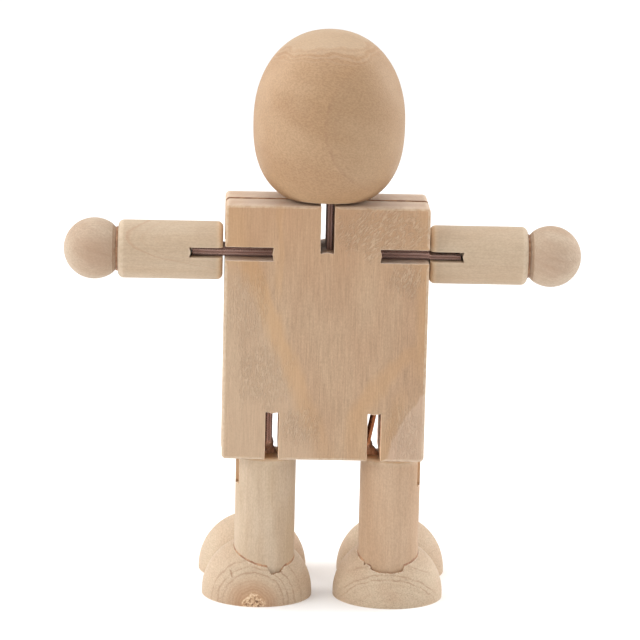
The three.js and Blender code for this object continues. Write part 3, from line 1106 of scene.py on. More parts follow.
@dataclass(frozen=True)
class Wire:
    """Bright drawn steel wire, for the pins inside the torso."""

    name: str = "drawn_wire"
    bright: Rgb = (168, 168, 170)
    dull: Rgb = (110, 108, 106)

    def material(self) -> Material:
        """Builds the wire's material, with fine marks of drawing."""
        material, graph, shader = new_material(self.name)
        place = graph.place()
        draw = graph.noise(place, 5.0, 4.0, 0.7)
        colour = graph.mix(draw, srgb(self.bright), srgb(self.dull))
        rough = graph.spread(draw, 0.3, 0.7, 0.25, 0.5)
        Coat(graph, place, colour, rough, draw).dress(shader, 0.02 * MM, 0.5)
        shader.inputs["Metallic"].default_value = 1.0
        return material


class Finishes:
    """Every material of the figure, made once."""

    def __init__(self) -> None:
        """Builds the materials."""
        self.torso = TorsoWood(
            "torso_board", pale=(178, 150, 122), warm=(171, 140, 112), line=(140, 104, 76),
            pith=(6.0, 40.0, 0.0), ring_spacing=3.4, wander=9.0, ring_force=0.14, fibre_force=0.15,
            fleck_force=0.14, mottle_force=0.07, end_force=0.16, end_face=(208, 195, 184), end_share=0.8,
            relief=0.6, hip_kerfs=tuple(x / MM for x in Torso.hip_kerfs()),
        ).material()
        self.head = HeadWood(
            "head_blank_wood", pale=(170, 139, 107), warm=(161, 128, 95), line=(140, 100, 72),
            grain_turn=(0.0, 78.0, 0.0), pith=(-40.0, 9.0, 0.0), ring_spacing=5.0, wander=9.0,
            ring_force=0.07, fibre_force=0.03, fleck_force=0.0, mottle_force=0.1, end_force=0.2,
            end_share=0.0, rough=0.56,
        ).material()
        self.arm = ArmWood(
            "arm_dowel_wood", pale=(186, 167, 144), warm=(179, 157, 132), line=(156, 122, 94),
            grain_turn=(0.0, 90.0, 0.0), pith=(-66.0, -2.0, 0.0), ring_spacing=2.3, wander=7.0,
            ring_force=0.1, fibre_force=0.05, fleck_force=0.03, mottle_force=0.055,
        ).material()
        self.hand = HandWood(
            "hand_ball_wood", pale=(185, 166, 145), warm=(173, 149, 126), line=(146, 112, 86),
            grain_turn=(0.0, 70.0, 30.0), pith=(-60.0, 3.0, 0.0), ring_spacing=1.7, wander=4.0,
            ring_force=0.16, fibre_force=0.06, fleck_force=0.04, mottle_force=0.07, end_share=0.0,
        ).material()
        self.legs: dict[Side, Material] = {}
        for side, pale, warm in (
            (Side.LEFT, (190, 170, 147), (180, 157, 130)), (Side.RIGHT, (185, 157, 130), (175, 144, 115)),
        ):
            place = Extent.of(f"{side.word}_leg")
            self.legs[side] = LegWood(
                f"{side.word}_leg_wood", pale=pale, warm=warm, line=(156, 120, 92), pith=(4.0, -30.0, 0.0),
                ring_spacing=2.2, wander=5.0, ring_force=0.13, fibre_force=0.06, fleck_force=0.05,
                mottle_force=0.06, middle=(place.centre.x / MM, place.centre.y / MM),
                turn=side.value * math.radians(Leg.kerf_turn),
                kerf_floor=(place.high.z - Leg.kerf.depth + Leg.kerf.ridge) / MM, top=place.high.z / MM,
            ).material()
        self.feet: dict[Side, Material] = {}
        for side, pith, core, decay, arcs in (
            (Side.LEFT, (-12.4, -0.4, 0.0), 6.5, 1.0, (6.1, 7.1, 8.3, 9.7, 11.5)),
            (Side.RIGHT, (14.4, 6.0, 0.0), 0.0, 0.0, (11.7, 12.5, 14.4, 16.0)),
        ):
            self.feet[side] = FootWood(
                f"{side.word}_foot_wood", pale=(193, 172, 147), warm=(185, 159, 133), line=(146, 108, 80),
                grain_turn=(90.0, 0.0, 0.0), pith=pith, ring_spacing=1.6, wander=2.4, ring_force=0.13,
                side_rings=0.25, fibre_force=0.08, fleck_force=0.06, mottle_force=0.07, end_force=0.42,
                end_share=0.0, relief=0.5, core=core, decay=decay, arcs=arcs,
            ).material()
        self.elastic = Elastic().material()
        # painted light: a paler, more orange copy of the elastic for the slack right hip strap, which lies
        # in shade
        self.slack = Elastic(
            "slack_elastic_painted_light", face=(222, 148, 98), deep=(190, 116, 70), thread=(230, 168, 120)
        ).material()
        self.glue = Glue().material()
        self.wire = Wire().material()


# The sub-assemblies


@dataclass(frozen=True)
class Kerf:
    """A saw cut: its width, its depth and how far the middle of its floor stands up."""

    width: float
    depth: float
    ridge: float = 0.28 * MM
    corner: float = 0.12 * MM

    def cutter(self, axis: Axis, radius: float) -> Solid:
        """The solid that saws the kerf into the end of a dowel.

        Args:
            axis: the dowel's axis, from the cut end inwards; the cut is thin along its third direction.
            radius: the dowel's radius.

        Returns:
            The cutter.
        """
        half, reach, deep = self.width / 2, radius + 2 * MM, self.depth - self.corner
        section = [
            (-half, -reach), (-half, deep), (-half + self.corner, self.depth),
            (0.0, self.depth - self.ridge),
            (half - self.corner, self.depth), (half, deep), (half, -reach),
        ]
        rings = [
            [axis.start + axis.third * x + axis.along * h + axis.across * side * reach for x, h in section]
            for side in (-1, 1)
        ]
        return loft("kerf_cutter", rings)


@dataclass
class Torso:
    """Two glued boards with five saw kerfs, the glue between them and the pins inside."""

    finishes: Finishes
    kerf: Kerf = Kerf(2.65 * MM, 9.6 * MM)
    wall_gap: float = 0.3 * MM
    strap_thickness: float = 1.4 * MM
    corner_radius: float = 0.9 * MM
    outer_ease: float = 0.5 * MM
    mouth_radius: float = 0.26 * MM
    kerf_ease: float = 0.13 * MM
    seam_ease: float = 0.14 * MM
    front_step: Vector = field(default_factory=lambda: Vector((0.1, 0, -0.22)) * MM)
    back_step: float = 0.12 * MM
    flat_margin: float = 0.3 * MM
    edge_margin: float = 0.08 * MM
    ease_steps: int = 5
    point_gap: float = 0.45 * MM
    glue_thickness: float = 0.24 * MM
    glue_inset: float = 0.16 * MM
    saw_jitter: float = 0.022 * MM
    seam_reach: float = 0.24 * MM
    glue_top: float = 0.5 * MM
    glue_top_inset: float = 0.04 * MM

    @classmethod
    def kerf_shift(cls) -> float:
        """How far a kerf's middle stands off its strap's."""
        return cls.kerf.width / 2 - cls.strap_thickness / 2 - cls.wall_gap

    @classmethod
    def hip_kerfs(cls) -> list[float]:
        """Where the middles of the left and the right hip kerf lie along X."""
        return [Extent.of(f"{side.word}_hip_anchor_pin").centre.x + cls.kerf_shift() for side in Side]

    def kerfs(self, box: Extent) -> list[tuple[Vector, Vector]]:
        """The mouth's middle and the inward direction of each kerf, clockwise from the lower left.

        Args:
            box: the board's box.

        Returns:
            Pairs of (mouth, direction), both in the XZ plane.
        """
        neck = Extent.of("neck_strap").centre.x - self.kerf_shift()
        shoulder = Extent.of("left_shoulder_strap").centre.z + self.kerf_shift()
        left_hip, right_hip = self.hip_kerfs()
        return [
            (Vector((box.low.x, 0, shoulder)), Vector((1, 0, 0))),
            (Vector((neck, 0, box.high.z)), Vector((0, 0, -1))),
            (Vector((box.high.x, 0, shoulder)), Vector((-1, 0, 0))),
            (Vector((right_hip, 0, box.low.z)), Vector((0, 0, 1))),
            (Vector((left_hip, 0, box.low.z)), Vector((0, 0, 1))),
        ]

    def __post_init__(self) -> None:
        """Reads the torso's box from the frame."""
        front, back = Extent.of("torso_front_plate"), Extent.of("torso_back_plate")
        self.box = Extent(front.low, back.high)
        self.seam = (front.high.y + back.low.y) / 2

    def corners(self, box: Extent) -> list[Corner]:
        """The outline's corners, clockwise as seen from the front.

        Args:
            box: the board's box.

        Returns:
            For each corner its place, its rounding and whether it belongs to a kerf.
        """
        floors = self.kerfs(self.box)
        left, neck, right, right_hip, left_hip = [
            self.kerf_corners(mouth, floor + inward * self.kerf.depth, inward)
            for (mouth, inward), (floor, _) in zip(self.kerfs(box), floors)
        ]
        low, high = box.low, box.high
        outer = [
            (Vector((x, 0, z)), self.corner_radius, False)
            for x, z in ((low.x, low.z), (low.x, high.z), (high.x, high.z), (high.x, low.z))
        ]
        return [outer[0], *left, outer[1], *neck, outer[2], *right, outer[3], *right_hip, *left_hip]

    def kerf_corners(self, mouth: Vector, floor: Vector, inward: Vector) -> list[Corner]:
        """The corners of one kerf, met clockwise: in along one wall, over the ridge and out again."""
        aside = Vector((inward.z, 0, -inward.x)) * (self.kerf.width / 2)
        return [
            (mouth + aside, self.mouth_radius, True),
            (floor + aside, self.mouth_radius * 0.6, True),
            (floor - inward * self.kerf.ridge, self.mouth_radius, True),
            (floor - aside, self.mouth_radius * 0.6, True),
            (mouth - aside, self.mouth_radius, True),
        ]

    def outline(self, box: Extent) -> tuple[list[Vector], list[Vector], list[float], list[float]]:
        """A board's outline in the XZ plane.

        Args:
            box: the board's box.

        Returns:
            Its points, their inward normals, the edge rounding at each and how far inwards from each
            the flat face starts.
        """
        luck = random.Random(7)
        corners = self.corners(box)
        made: list[tuple[Vector, bool, bool]] = []
        for index, (corner, radius, in_kerf) in enumerate(corners):
            ahead, ahead_radius, ahead_in_kerf = corners[(index + 1) % len(corners)]
            before = (corners[index - 1][0] - corner).normalized()
            after = (ahead - corner).normalized()
            half = before.angle(after) / 2
            cut = radius / math.tan(half)
            steps = 6 if in_kerf else 8
            start, end = corner + before * cut, corner + after * cut
            middle = corner + (before + after).normalized() * (radius / math.sin(half))
            first, last = (start - middle).normalized(), (end - middle).normalized()
            for i in range(steps + 1):
                made.append((middle + first.slerp(last, i / steps) * radius, in_kerf, True))
            tail = ahead - after * ahead_radius / math.tan(self.next_half(corners, index))
            count = max(1, round((tail - end).length / self.point_gap))
            wall = in_kerf and ahead_in_kerf and self.inside(corner, ahead)
            for i in range(1, count):
                drift = after.cross(Vector((0, 1, 0))) * (luck.uniform(-1, 1) * self.saw_jitter * wall)
                made.append((end.lerp(tail, i / count) + drift, wall, False))
        points = [point for point, _, _ in made]
        normals = []
        for index in range(len(points)):
            run = points[(index + 1) % len(points)] - points[index - 1]
            normals.append(Vector((run.z, 0, -run.x)).normalized())
        ease = [self.kerf_ease if sawn else self.outer_ease for _, sawn, _ in made]
        tight, wide = self.mouth_radius * 0.92, self.outer_ease + self.flat_margin
        reach = [tight if sawn and bent else wide for _, sawn, bent in made]
        return points, normals, self.grow(points, ease), self.grow(points, reach)

    def next_half(self, corners: list[Corner], index: int) -> float:
        """Half the angle at the corner after the one of this number."""
        here, there = corners[index][0], corners[(index + 1) % len(corners)][0]
        beyond = corners[(index + 2) % len(corners)][0]
        return (here - there).angle(beyond - there) / 2

    def inside(self, a: Vector, b: Vector) -> bool:
        """Whether a run between two kerf corners lies in one kerf and not on the outside between two."""
        return (b - a).length < 1.2 * self.kerf.depth and not (a.z == b.z == self.box.low.z)

    def grow(self, points: list[Vector], limits: list[float]) -> list[float]:
        """Lets a small value rise gently along the outline to its larger neighbours.

        Args:
            points: the outline's points.
            limits: the largest value allowed at each point.

        Returns:
            The values, which change by at most half of the distance between neighbours.
        """
        values = list(limits)
        count = len(points)
        for _ in range(2):
            for step in (1, -1):
                for i in range(count) if step == 1 else range(count - 1, -1, -1):
                    j = (i - step) % count
                    values[i] = min(values[i], values[j] + 0.5 * (points[i] - points[j]).length)
        return values

    def board(self, name: str, outer_y: float) -> Solid:
        """One of the two boards, with its rounded outer edge and its crisp edge at the seam.

        Args:
            name: the piece's name.
            outer_y: where its outer face lies.

        Returns:
            The finished solid.
        """
        out = 1 if outer_y > self.seam else -1
        if out < 0:
            low, high = Vector((self.front_step.x, 0, 0)), Vector((0, 0, self.front_step.z))
        else:
            low, high = Vector((0, 0, 0)), Vector((-self.back_step, 0, 0))
        box = Extent(self.box.low + low, self.box.high + high)
        points, normals, ease, reach = self.outline(box)
        seam_y = self.seam + out * self.glue_thickness / 2
        rings: list[list[Vector]] = []

        def ring(inset: Callable[[int], float], y: Callable[[int], float]) -> None:
            """Adds a ring moved inwards and placed along Y."""
            places = enumerate(zip(points, normals))
            rings.append([p + n * inset(i) + Vector((0, y(i), 0)) for i, (p, n) in places])

        ring(lambda i: reach[i], lambda i: outer_y)
        ring(lambda i: min(reach[i] * 0.97, ease[i] + self.edge_margin), lambda i: outer_y)
        for step in range(self.ease_steps + 1):
            turn = math.pi / 2 * step / self.ease_steps
            rise = 1 - math.cos(turn)
            bite = 1 - math.sin(turn)
            ring(lambda i: ease[i] * bite, lambda i: outer_y - out * ease[i] * rise)
        ring(lambda i: 0.0, lambda i: (outer_y + seam_y) / 2)
        for step in range(3):
            turn = math.pi * step / 4
            rise = 1 - math.sin(turn)
            bite = 1 - math.cos(turn)
            ring(lambda i: self.seam_ease * bite, lambda i: seam_y + out * self.seam_ease * rise)
        ring(lambda i: min(reach[i], self.seam_reach), lambda i: seam_y)
        return settle(loft(name, rings))

    def glue_line(self) -> Solid:
        """The layer of glue between the boards, set a little in from their edges."""
        points, normals, _, _ = self.outline(self.box)
        top = self.box.high.z - self.glue_top
        bites = [self.glue_top_inset if point.z > top else self.glue_inset for point in points]
        rings = [
            [p + n * bite + Vector((0, self.seam + side * self.glue_thickness / 2, 0))
             for p, n, bite in zip(points, normals, bites)]
            for side in (-1, 1)
        ]
        return settle(loft("torso_glue_line", rings))

    def build(self) -> None:
        """Makes and dresses the torso's pieces."""
        for word, outer_y in (("front", self.box.low.y), ("back", self.box.high.y)):
            board = self.board(f"torso_{word}_board", outer_y)
            finish_piece(board, self.finishes.torso, "torso_wood", "torso", f"torso_{word}_plate")
        finish_piece(self.glue_line(), self.finishes.glue, "torso_wood", "torso")
        for place in ("neck", "left_shoulder", "right_shoulder", "left_hip", "right_hip"):
            dress(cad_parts[f"{place}_anchor_pin"], self.finishes.wire)


@dataclass
class Head:
    """The turned head blank, with the bore for its peg."""

    finishes: Finishes
    base_radius: float = 8.2 * MM
    base_depth: float = 14.9 * MM
    crown_power: float = 2.15
    jaw_power: float = 2.5
    base_ease: float = 0.5 * MM
    bore_clearance: float = 0.3 * MM
    segments: int = 160
    steps: int = 56

    def profile(self, radius: float, height: float, bore: float, bore_depth: float) -> Profile:
        """The head's profile from the bore's floor round the base and up to the crown.

        Args:
            radius: the head's largest radius.
            height: its full height.
            bore: the bore's radius.
            bore_depth: how deep the bore goes.

        Returns:
            The (radius, height) points, measured from the base.
        """
        crown = height - self.base_depth
        start = math.acos((self.base_radius / radius) ** (self.jaw_power / 2))
        reach = self.base_depth / math.sin(start) ** (2 / self.jaw_power)
        points = [(0.0, bore_depth), (bore - 0.3 * MM, bore_depth), (bore, bore_depth - 0.3 * MM)]
        points += [(bore, 0.25 * MM), (bore + 0.2 * MM, 0.0), (self.base_radius - self.base_ease, 0.0)]
        points.append((self.base_radius - 0.16 * MM, 0.12 * MM))

        def bow(angle: float, power: float, rise: float) -> tuple[float, float]:
            """A point of the oval at an angle over its widest place."""
            out = radius * math.cos(angle) ** (2 / power)
            return out, self.base_depth + rise * math.sin(angle) ** (2 / power)

        steps = self.steps
        points += [bow(start * (1 - i / steps), self.jaw_power, -reach) for i in range(1, steps + 1)]
        points += [bow(math.pi / 2 * i / steps, self.crown_power, crown) for i in range(1, steps)]
        return points + [(0.0, height)]

    def build(self) -> None:
        """Makes and dresses the head; its peg keeps the frame's shape."""
        box, peg = Extent.of("head"), Extent.of("neck_peg")
        bore = peg.size.x / 2 + self.bore_clearance
        bore_depth = peg.high.z - box.low.z + self.bore_clearance
        profile = self.profile(box.size.x / 2, box.size.z, bore, bore_depth)
        base = Vector((box.centre.x, box.centre.y, box.low.z))
        axis = Axis(base, Vector((0, 0, 1)), Vector((1, 0, 0)))
        head = revolve("head_blank", axis, profile, self.segments)
        finish_piece(settle(head), self.finishes.head, "head_wood", "head", "head")
        dress(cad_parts["neck_peg"], self.finishes.arm)


@dataclass
class Arm:
    """One arm: a dowel with rounded ends, a kerf at its inner end, a ball for a hand and their glue."""

    finishes: Finishes
    side: Side
    end_radius: float = 1.2 * MM
    kerf: Kerf = Kerf(2.0 * MM, 6.6 * MM)
    kerf_rise: float = 0.45 * MM
    tenon_radius: float = 2.0 * MM
    tenon_length: float = 4.5 * MM
    tenon_ease: float = 0.3 * MM
    ball_radius: float = 6.05 * MM
    flat_distance: float = 4.35 * MM
    glue_radius: float = 4.25 * MM
    glue_inner: float = 2.6 * MM
    glue_bulge: float = 0.12 * MM
    ring_steps: int = 96
    shoulder_width: float = 0.82 * MM
    shoulder_step: float = 0.05 * MM
    segments: int = 112

    def __post_init__(self) -> None:
        """Reads the arm's place from the frame."""
        self.box = Extent.of(f"{self.side.word}_arm")
        ball = Extent.of(f"{self.side.word}_hand")
        outward = Vector((self.side.value, 0, 0))
        inner = self.side.pick(self.box.high.x, self.box.low.x)
        self.axis = Axis(Vector((inner, self.box.centre.y, self.box.centre.z)), outward, Vector((0, 1, 0)))
        self.radius = self.box.size.z / 2
        self.length = self.box.size.x - self.tenon_length
        tip = self.side.pick(ball.low.x, ball.high.x)
        self.ball_centre = abs(tip - inner) - self.ball_radius

    def dowel(self) -> Solid:
        """The arm itself, with its tenon and its kerf."""
        bend, side = self.end_radius, self.radius - self.end_radius
        round_in = arc((side, bend), bend, -90, 0, 8)
        round_out = arc((side, self.length - bend), bend, 0, 90, 8)
        tip, tenon = self.length + self.tenon_length, self.tenon_radius
        tail = [(tenon, self.length), (tenon, tip - self.tenon_ease), (tenon - self.tenon_ease, tip)]
        line = subdivide([(0.4 * MM, 0.0), *round_in, *round_out, *tail], 0.8 * MM)
        profile = [(0.0, 0.0), *line, (0.0, tip)]
        arm = revolve(f"{self.side.word}_arm_dowel", self.axis, profile, self.segments)
        rise = Axis(self.axis.start + Vector((0, 0, self.kerf_rise)), self.axis.along, self.axis.across)
        carve(arm, self.kerf.cutter(rise, self.radius))
        ease_edges(arm)
        return settle(arm)

    def ball(self) -> Solid:
        """The hand: a turned ball with a flat for the arm and a blind bore for its tenon."""
        flat_radius = math.sqrt(self.ball_radius**2 - self.flat_distance**2)
        bore = self.tenon_radius + 0.1 * MM
        face = self.ball_centre - self.flat_distance
        floor = self.length + self.tenon_length + 0.2 * MM
        shoulder = self.flat_distance - self.shoulder_width
        shoulder_radius = math.sqrt(self.ball_radius**2 - shoulder**2)
        start = -math.degrees(math.atan2(shoulder, shoulder_radius))
        rim = arc((0, self.ball_centre), self.ball_radius, start, 90, 52)[:-1]
        profile = [(0.0, floor), (bore, floor), (bore, face), (flat_radius - 0.25 * MM, face),
                   (flat_radius - 0.08 * MM, face + 0.06 * MM),
                   (shoulder_radius - self.shoulder_step, face + self.shoulder_width - 0.04 * MM), *rim,
                   (0.0, self.ball_centre + self.ball_radius)]
        return settle(revolve(f"{self.side.word}_hand_ball", self.axis, profile, self.ring_steps))

    def glue(self) -> Solid:
        """The ring of glue squeezed out between the arm's end and the ball's flat."""
        face = self.ball_centre - self.flat_distance
        middle = (self.length + face) / 2
        half = abs(face - self.length) / 2 + 0.1 * MM
        luck = random.Random(21 + self.side.value)
        waves = [luck.uniform(-0.05, 0.05) * MM for _ in range(self.ring_steps // 4)]
        inner, outer, bulge = self.glue_inner, self.glue_radius, self.glue_radius + self.glue_bulge
        levels = ((inner, -half), (outer, -half), (bulge, 0.0), (outer, half), (inner, half))
        turns = [math.tau * i / self.ring_steps for i in range(self.ring_steps)]
        rings = [
            [self.axis.point(radius + waves[i // 4] * (radius > inner), turn, middle + height)
             for i, turn in enumerate(turns)]
            for radius, height in levels
        ]
        return settle(loft(f"{self.side.word}_hand_glue", rings))

    def build(self) -> None:
        """Makes and dresses the arm's pieces."""
        word = self.side.word
        finish_piece(self.dowel(), self.finishes.arm, "limb_wood", f"{word}_arm", f"{word}_arm")
        finish_piece(self.ball(), self.finishes.hand, "limb_wood", f"{word}_arm", f"{word}_hand")
        finish_piece(self.glue(), self.finishes.glue, "limb_wood", f"{word}_arm")


@dataclass
class Leg:
    """One leg and its foot: a dowel with a kerf across its top, glued into half a turned peanut."""

    finishes: Finishes
    side: Side
    chips: Sequence[tuple[float, float]]
    heel_side_shift: float
    toe_out: float
    top_radius: float = 0.8 * MM
    kerf: Kerf = Kerf(2.0 * MM, 6.0 * MM)
    hump_radius: float = 11.0 * MM
    hump_spacing: float = 18.6 * MM
    waist_radius: float = 7.0 * MM
    hump_height: float = 0.7 * MM
    heel_setback: float = 2.4 * MM
    socket_gap: float = 0.12 * MM
    chip_rise: float = 0.55
    chip_flare: float = 1.1
    rim_flare: float = 0.16 * MM
    least_chip: float = 0.12 * MM
    floor_gap: float = 0.1 * MM
    kerf_turn: float = 18.0
    glue_climb: float = 0.26 * MM
    segments: int = 128

    def __post_init__(self) -> None:
        """Reads the leg's place from the frame."""
        self.box = Extent.of(f"{self.side.word}_leg")
        self.radius = self.box.size.x / 2
        self.foot_axis = Vector((self.box.centre.x, self.box.centre.y, 0))
        self.turn = Matrix.Rotation(-self.side.value * math.radians(self.toe_out), 3, "Z")
        shift = Vector((self.side.value * self.heel_side_shift, self.heel_setback, self.hump_height))
        self.heel = self.foot_axis + self.turn @ shift

    def dowel(self) -> Solid:
        """The leg itself, with its kerf."""
        low, high = self.box.low.z, self.box.high.z
        length = high - low
        top = arc((self.radius - self.top_radius, self.top_radius), self.top_radius, -90, 0, 7)
        line = subdivide([(0.4 * MM, 0.0), *top, (self.radius, length), (0.4 * MM, length)], 0.9 * MM)
        start = Vector((self.box.centre.x, self.box.centre.y, high))
        turn = self.side.value * math.radians(self.kerf_turn)
        axis = Axis(start, Vector((0, 0, -1)), Vector((math.cos(turn), -math.sin(turn), 0)))
        leg = revolve(f"{self.side.word}_leg_dowel", axis, [(0.0, 0.0), *line, (0.0, length)], 112)
        carve(leg, self.kerf.cutter(axis, self.radius))
        ease_edges(leg)
        return settle(leg)

    def foot_profile(self) -> Profile:
        """The peanut's profile along its axis: two round humps and the hollow between them."""
        half = self.hump_spacing / 2
        squares = half**2 + self.waist_radius**2 - self.hump_radius**2
        hollow = squares / (2 * (self.hump_radius - self.waist_radius))
        touch = math.degrees(math.atan2(self.waist_radius + hollow, half))
        near = arc((0, 0), self.hump_radius, -90, 90 - touch, 44)
        dip = arc((self.waist_radius + hollow, half), hollow, 270 - touch, 90 + touch, 18)
        far = arc((0, self.hump_spacing), self.hump_radius, touch - 90, 90, 44)
        return [(0.0, near[0][1]), *near[1:], *dip[1:-1], *far[:-1], (0.0, far[-1][1])]

    def rim_height(self, angle: float) -> float:
        """Height of the heel's dome over the socket's edge at an angle round the leg.

        Args:
            angle: 0 at the camera's side, growing to +X, in radians.

        Returns:
            The height over the sole, in metres.
        """
        edge = self.foot_axis + Vector((math.sin(angle), -math.cos(angle), 0)) * self.radius
        away = (edge.xy - self.heel.xy).length
        return self.heel.z + math.sqrt(max(0.0, self.hump_radius**2 - away**2))

    def chip_depth(self, angle: float) -> float:
        """How far the socket's edge is broken down at an angle round the leg, in metres."""
        degrees = math.degrees(angle)
        for (a, low), (b, high) in zip(self.chips, self.chips[1:]):
            if a <= degrees <= b:
                return (low + (high - low) * (degrees - a) / (b - a)) * MM
        return 0.0

    def around(self, steps: int, levels: Callable[[float], Profile]) -> list[list[Vector]]:
        """Four rings round the leg.

        Args:
            steps: points in each ring.
            levels: gives each ring's radius and height at an angle, which is as in rim_height.

        Returns:
            The rings.
        """
        rings: list[list[Vector]] = [[], [], [], []]
        for i in range(steps):
            angle = -math.pi + math.tau * i / steps
            ray = Vector((math.sin(angle), -math.cos(angle), 0))
            for ring, (radius, z) in zip(rings, levels(angle)):
                ring.append(self.foot_axis + ray * radius + Vector((0, 0, z)))
        return rings

    def socket_cutter(self) -> Solid:
        """The leg's socket with the chips broken out of its edge."""
        luck = random.Random(31 + self.side.value)
        inner = self.radius + self.socket_gap
        floor, top = self.box.low.z - self.floor_gap, self.box.high.z

        def levels(angle: float) -> Profile:
            """The socket's floor, its broken edge and the flare above that."""
            chip = self.chip_depth(angle)
            ragged = luck.uniform(-0.09, 0.09) * MM
            start = self.rim_height(angle) - max(chip, self.least_chip) + ragged
            flare = self.rim_flare + self.chip_flare * chip
            outer = inner + flare
            rim = start + flare * self.chip_rise
            return [(inner, floor), (inner, start), (outer, rim), (outer + 0.02 * MM, top)]

        return loft("socket_cutter", self.around(180, levels))

    def foot(self) -> Solid:
        """The half peanut, cut flat at the sole, with the chipped socket."""
        along = self.turn @ Vector((0, 1, 0))
        across = self.turn @ Vector((1, 0, 0))
        axis = Axis(self.heel, along, across)
        foot = revolve(f"{self.side.word}_foot_half", axis, self.foot_profile(), self.segments)
        work = bmesh.new()
        work.from_mesh(foot.data)
        everything = work.verts[:] + work.edges[:] + work.faces[:]
        bmesh.ops.bisect_plane(
            work, geom=everything, plane_co=(0, 0, 0), plane_no=(0, 0, 1), clear_inner=True
        )
        bmesh.ops.holes_fill(work, edges=[edge for edge in work.edges if edge.is_boundary])
        work.to_mesh(foot.data)
        work.free()
        carve(foot, self.socket_cutter())
        return settle(foot, 34)

    def glue(self) -> Solid:
        """The brown collar of glue between the leg and its socket."""
        luck = random.Random(57 + self.side.value)
        inner, outer = self.radius + 0.004 * MM, self.radius + self.socket_gap - 0.008 * MM
        floor = self.box.low.z

        def levels(angle: float) -> Profile:
            """The collar's foot, and its top, which climbs the leg a little."""
            top = self.rim_height(angle) - self.chip_depth(angle) - 0.02 * MM
            climb = luck.uniform(0.7, 1.3) * self.glue_climb
            return [(inner, floor), (outer, floor), (outer, top - 0.1 * MM), (inner, top + climb)]

        return settle(loft(f"{self.side.word}_leg_glue", self.around(120, levels), loop=True))

    def build(self) -> None:
        """Makes and dresses the leg's pieces."""
        word = self.side.word
        leg_wood, foot_wood = self.finishes.legs[self.side], self.finishes.feet[self.side]
        finish_piece(self.dowel(), leg_wood, "limb_wood", f"{word}_leg", f"{word}_leg")
        finish_piece(self.foot(), foot_wood, "foot_wood", f"{word}_leg", f"{word}_foot")
        finish_piece(self.glue(), self.finishes.glue, "foot_wood", f"{word}_leg")


@dataclass(frozen=True)
class Station:
    """One cross-section of a strap: its middle, its wide direction, and its two half sizes."""

    middle: Vector
    wide: Vector
    half_width: float
    half_thickness: float

    def towards(self, other: "Station", share: float) -> "Station":
        """The section part of the way to another one.

        Args:
            other: the section at share 1.
            share: how far, 0 to 1.

        Returns:
            The section between.
        """
        ease = share * share * (3 - 2 * share)
        wide = self.wide.slerp(other.wide, ease) if self.wide.angle(other.wide) > 1e-4 else self.wide
        return Station(
            self.middle.lerp(other.middle, share), wide,
            self.half_width + (other.half_width - self.half_width) * ease,
            self.half_thickness + (other.half_thickness - self.half_thickness) * ease,
        )


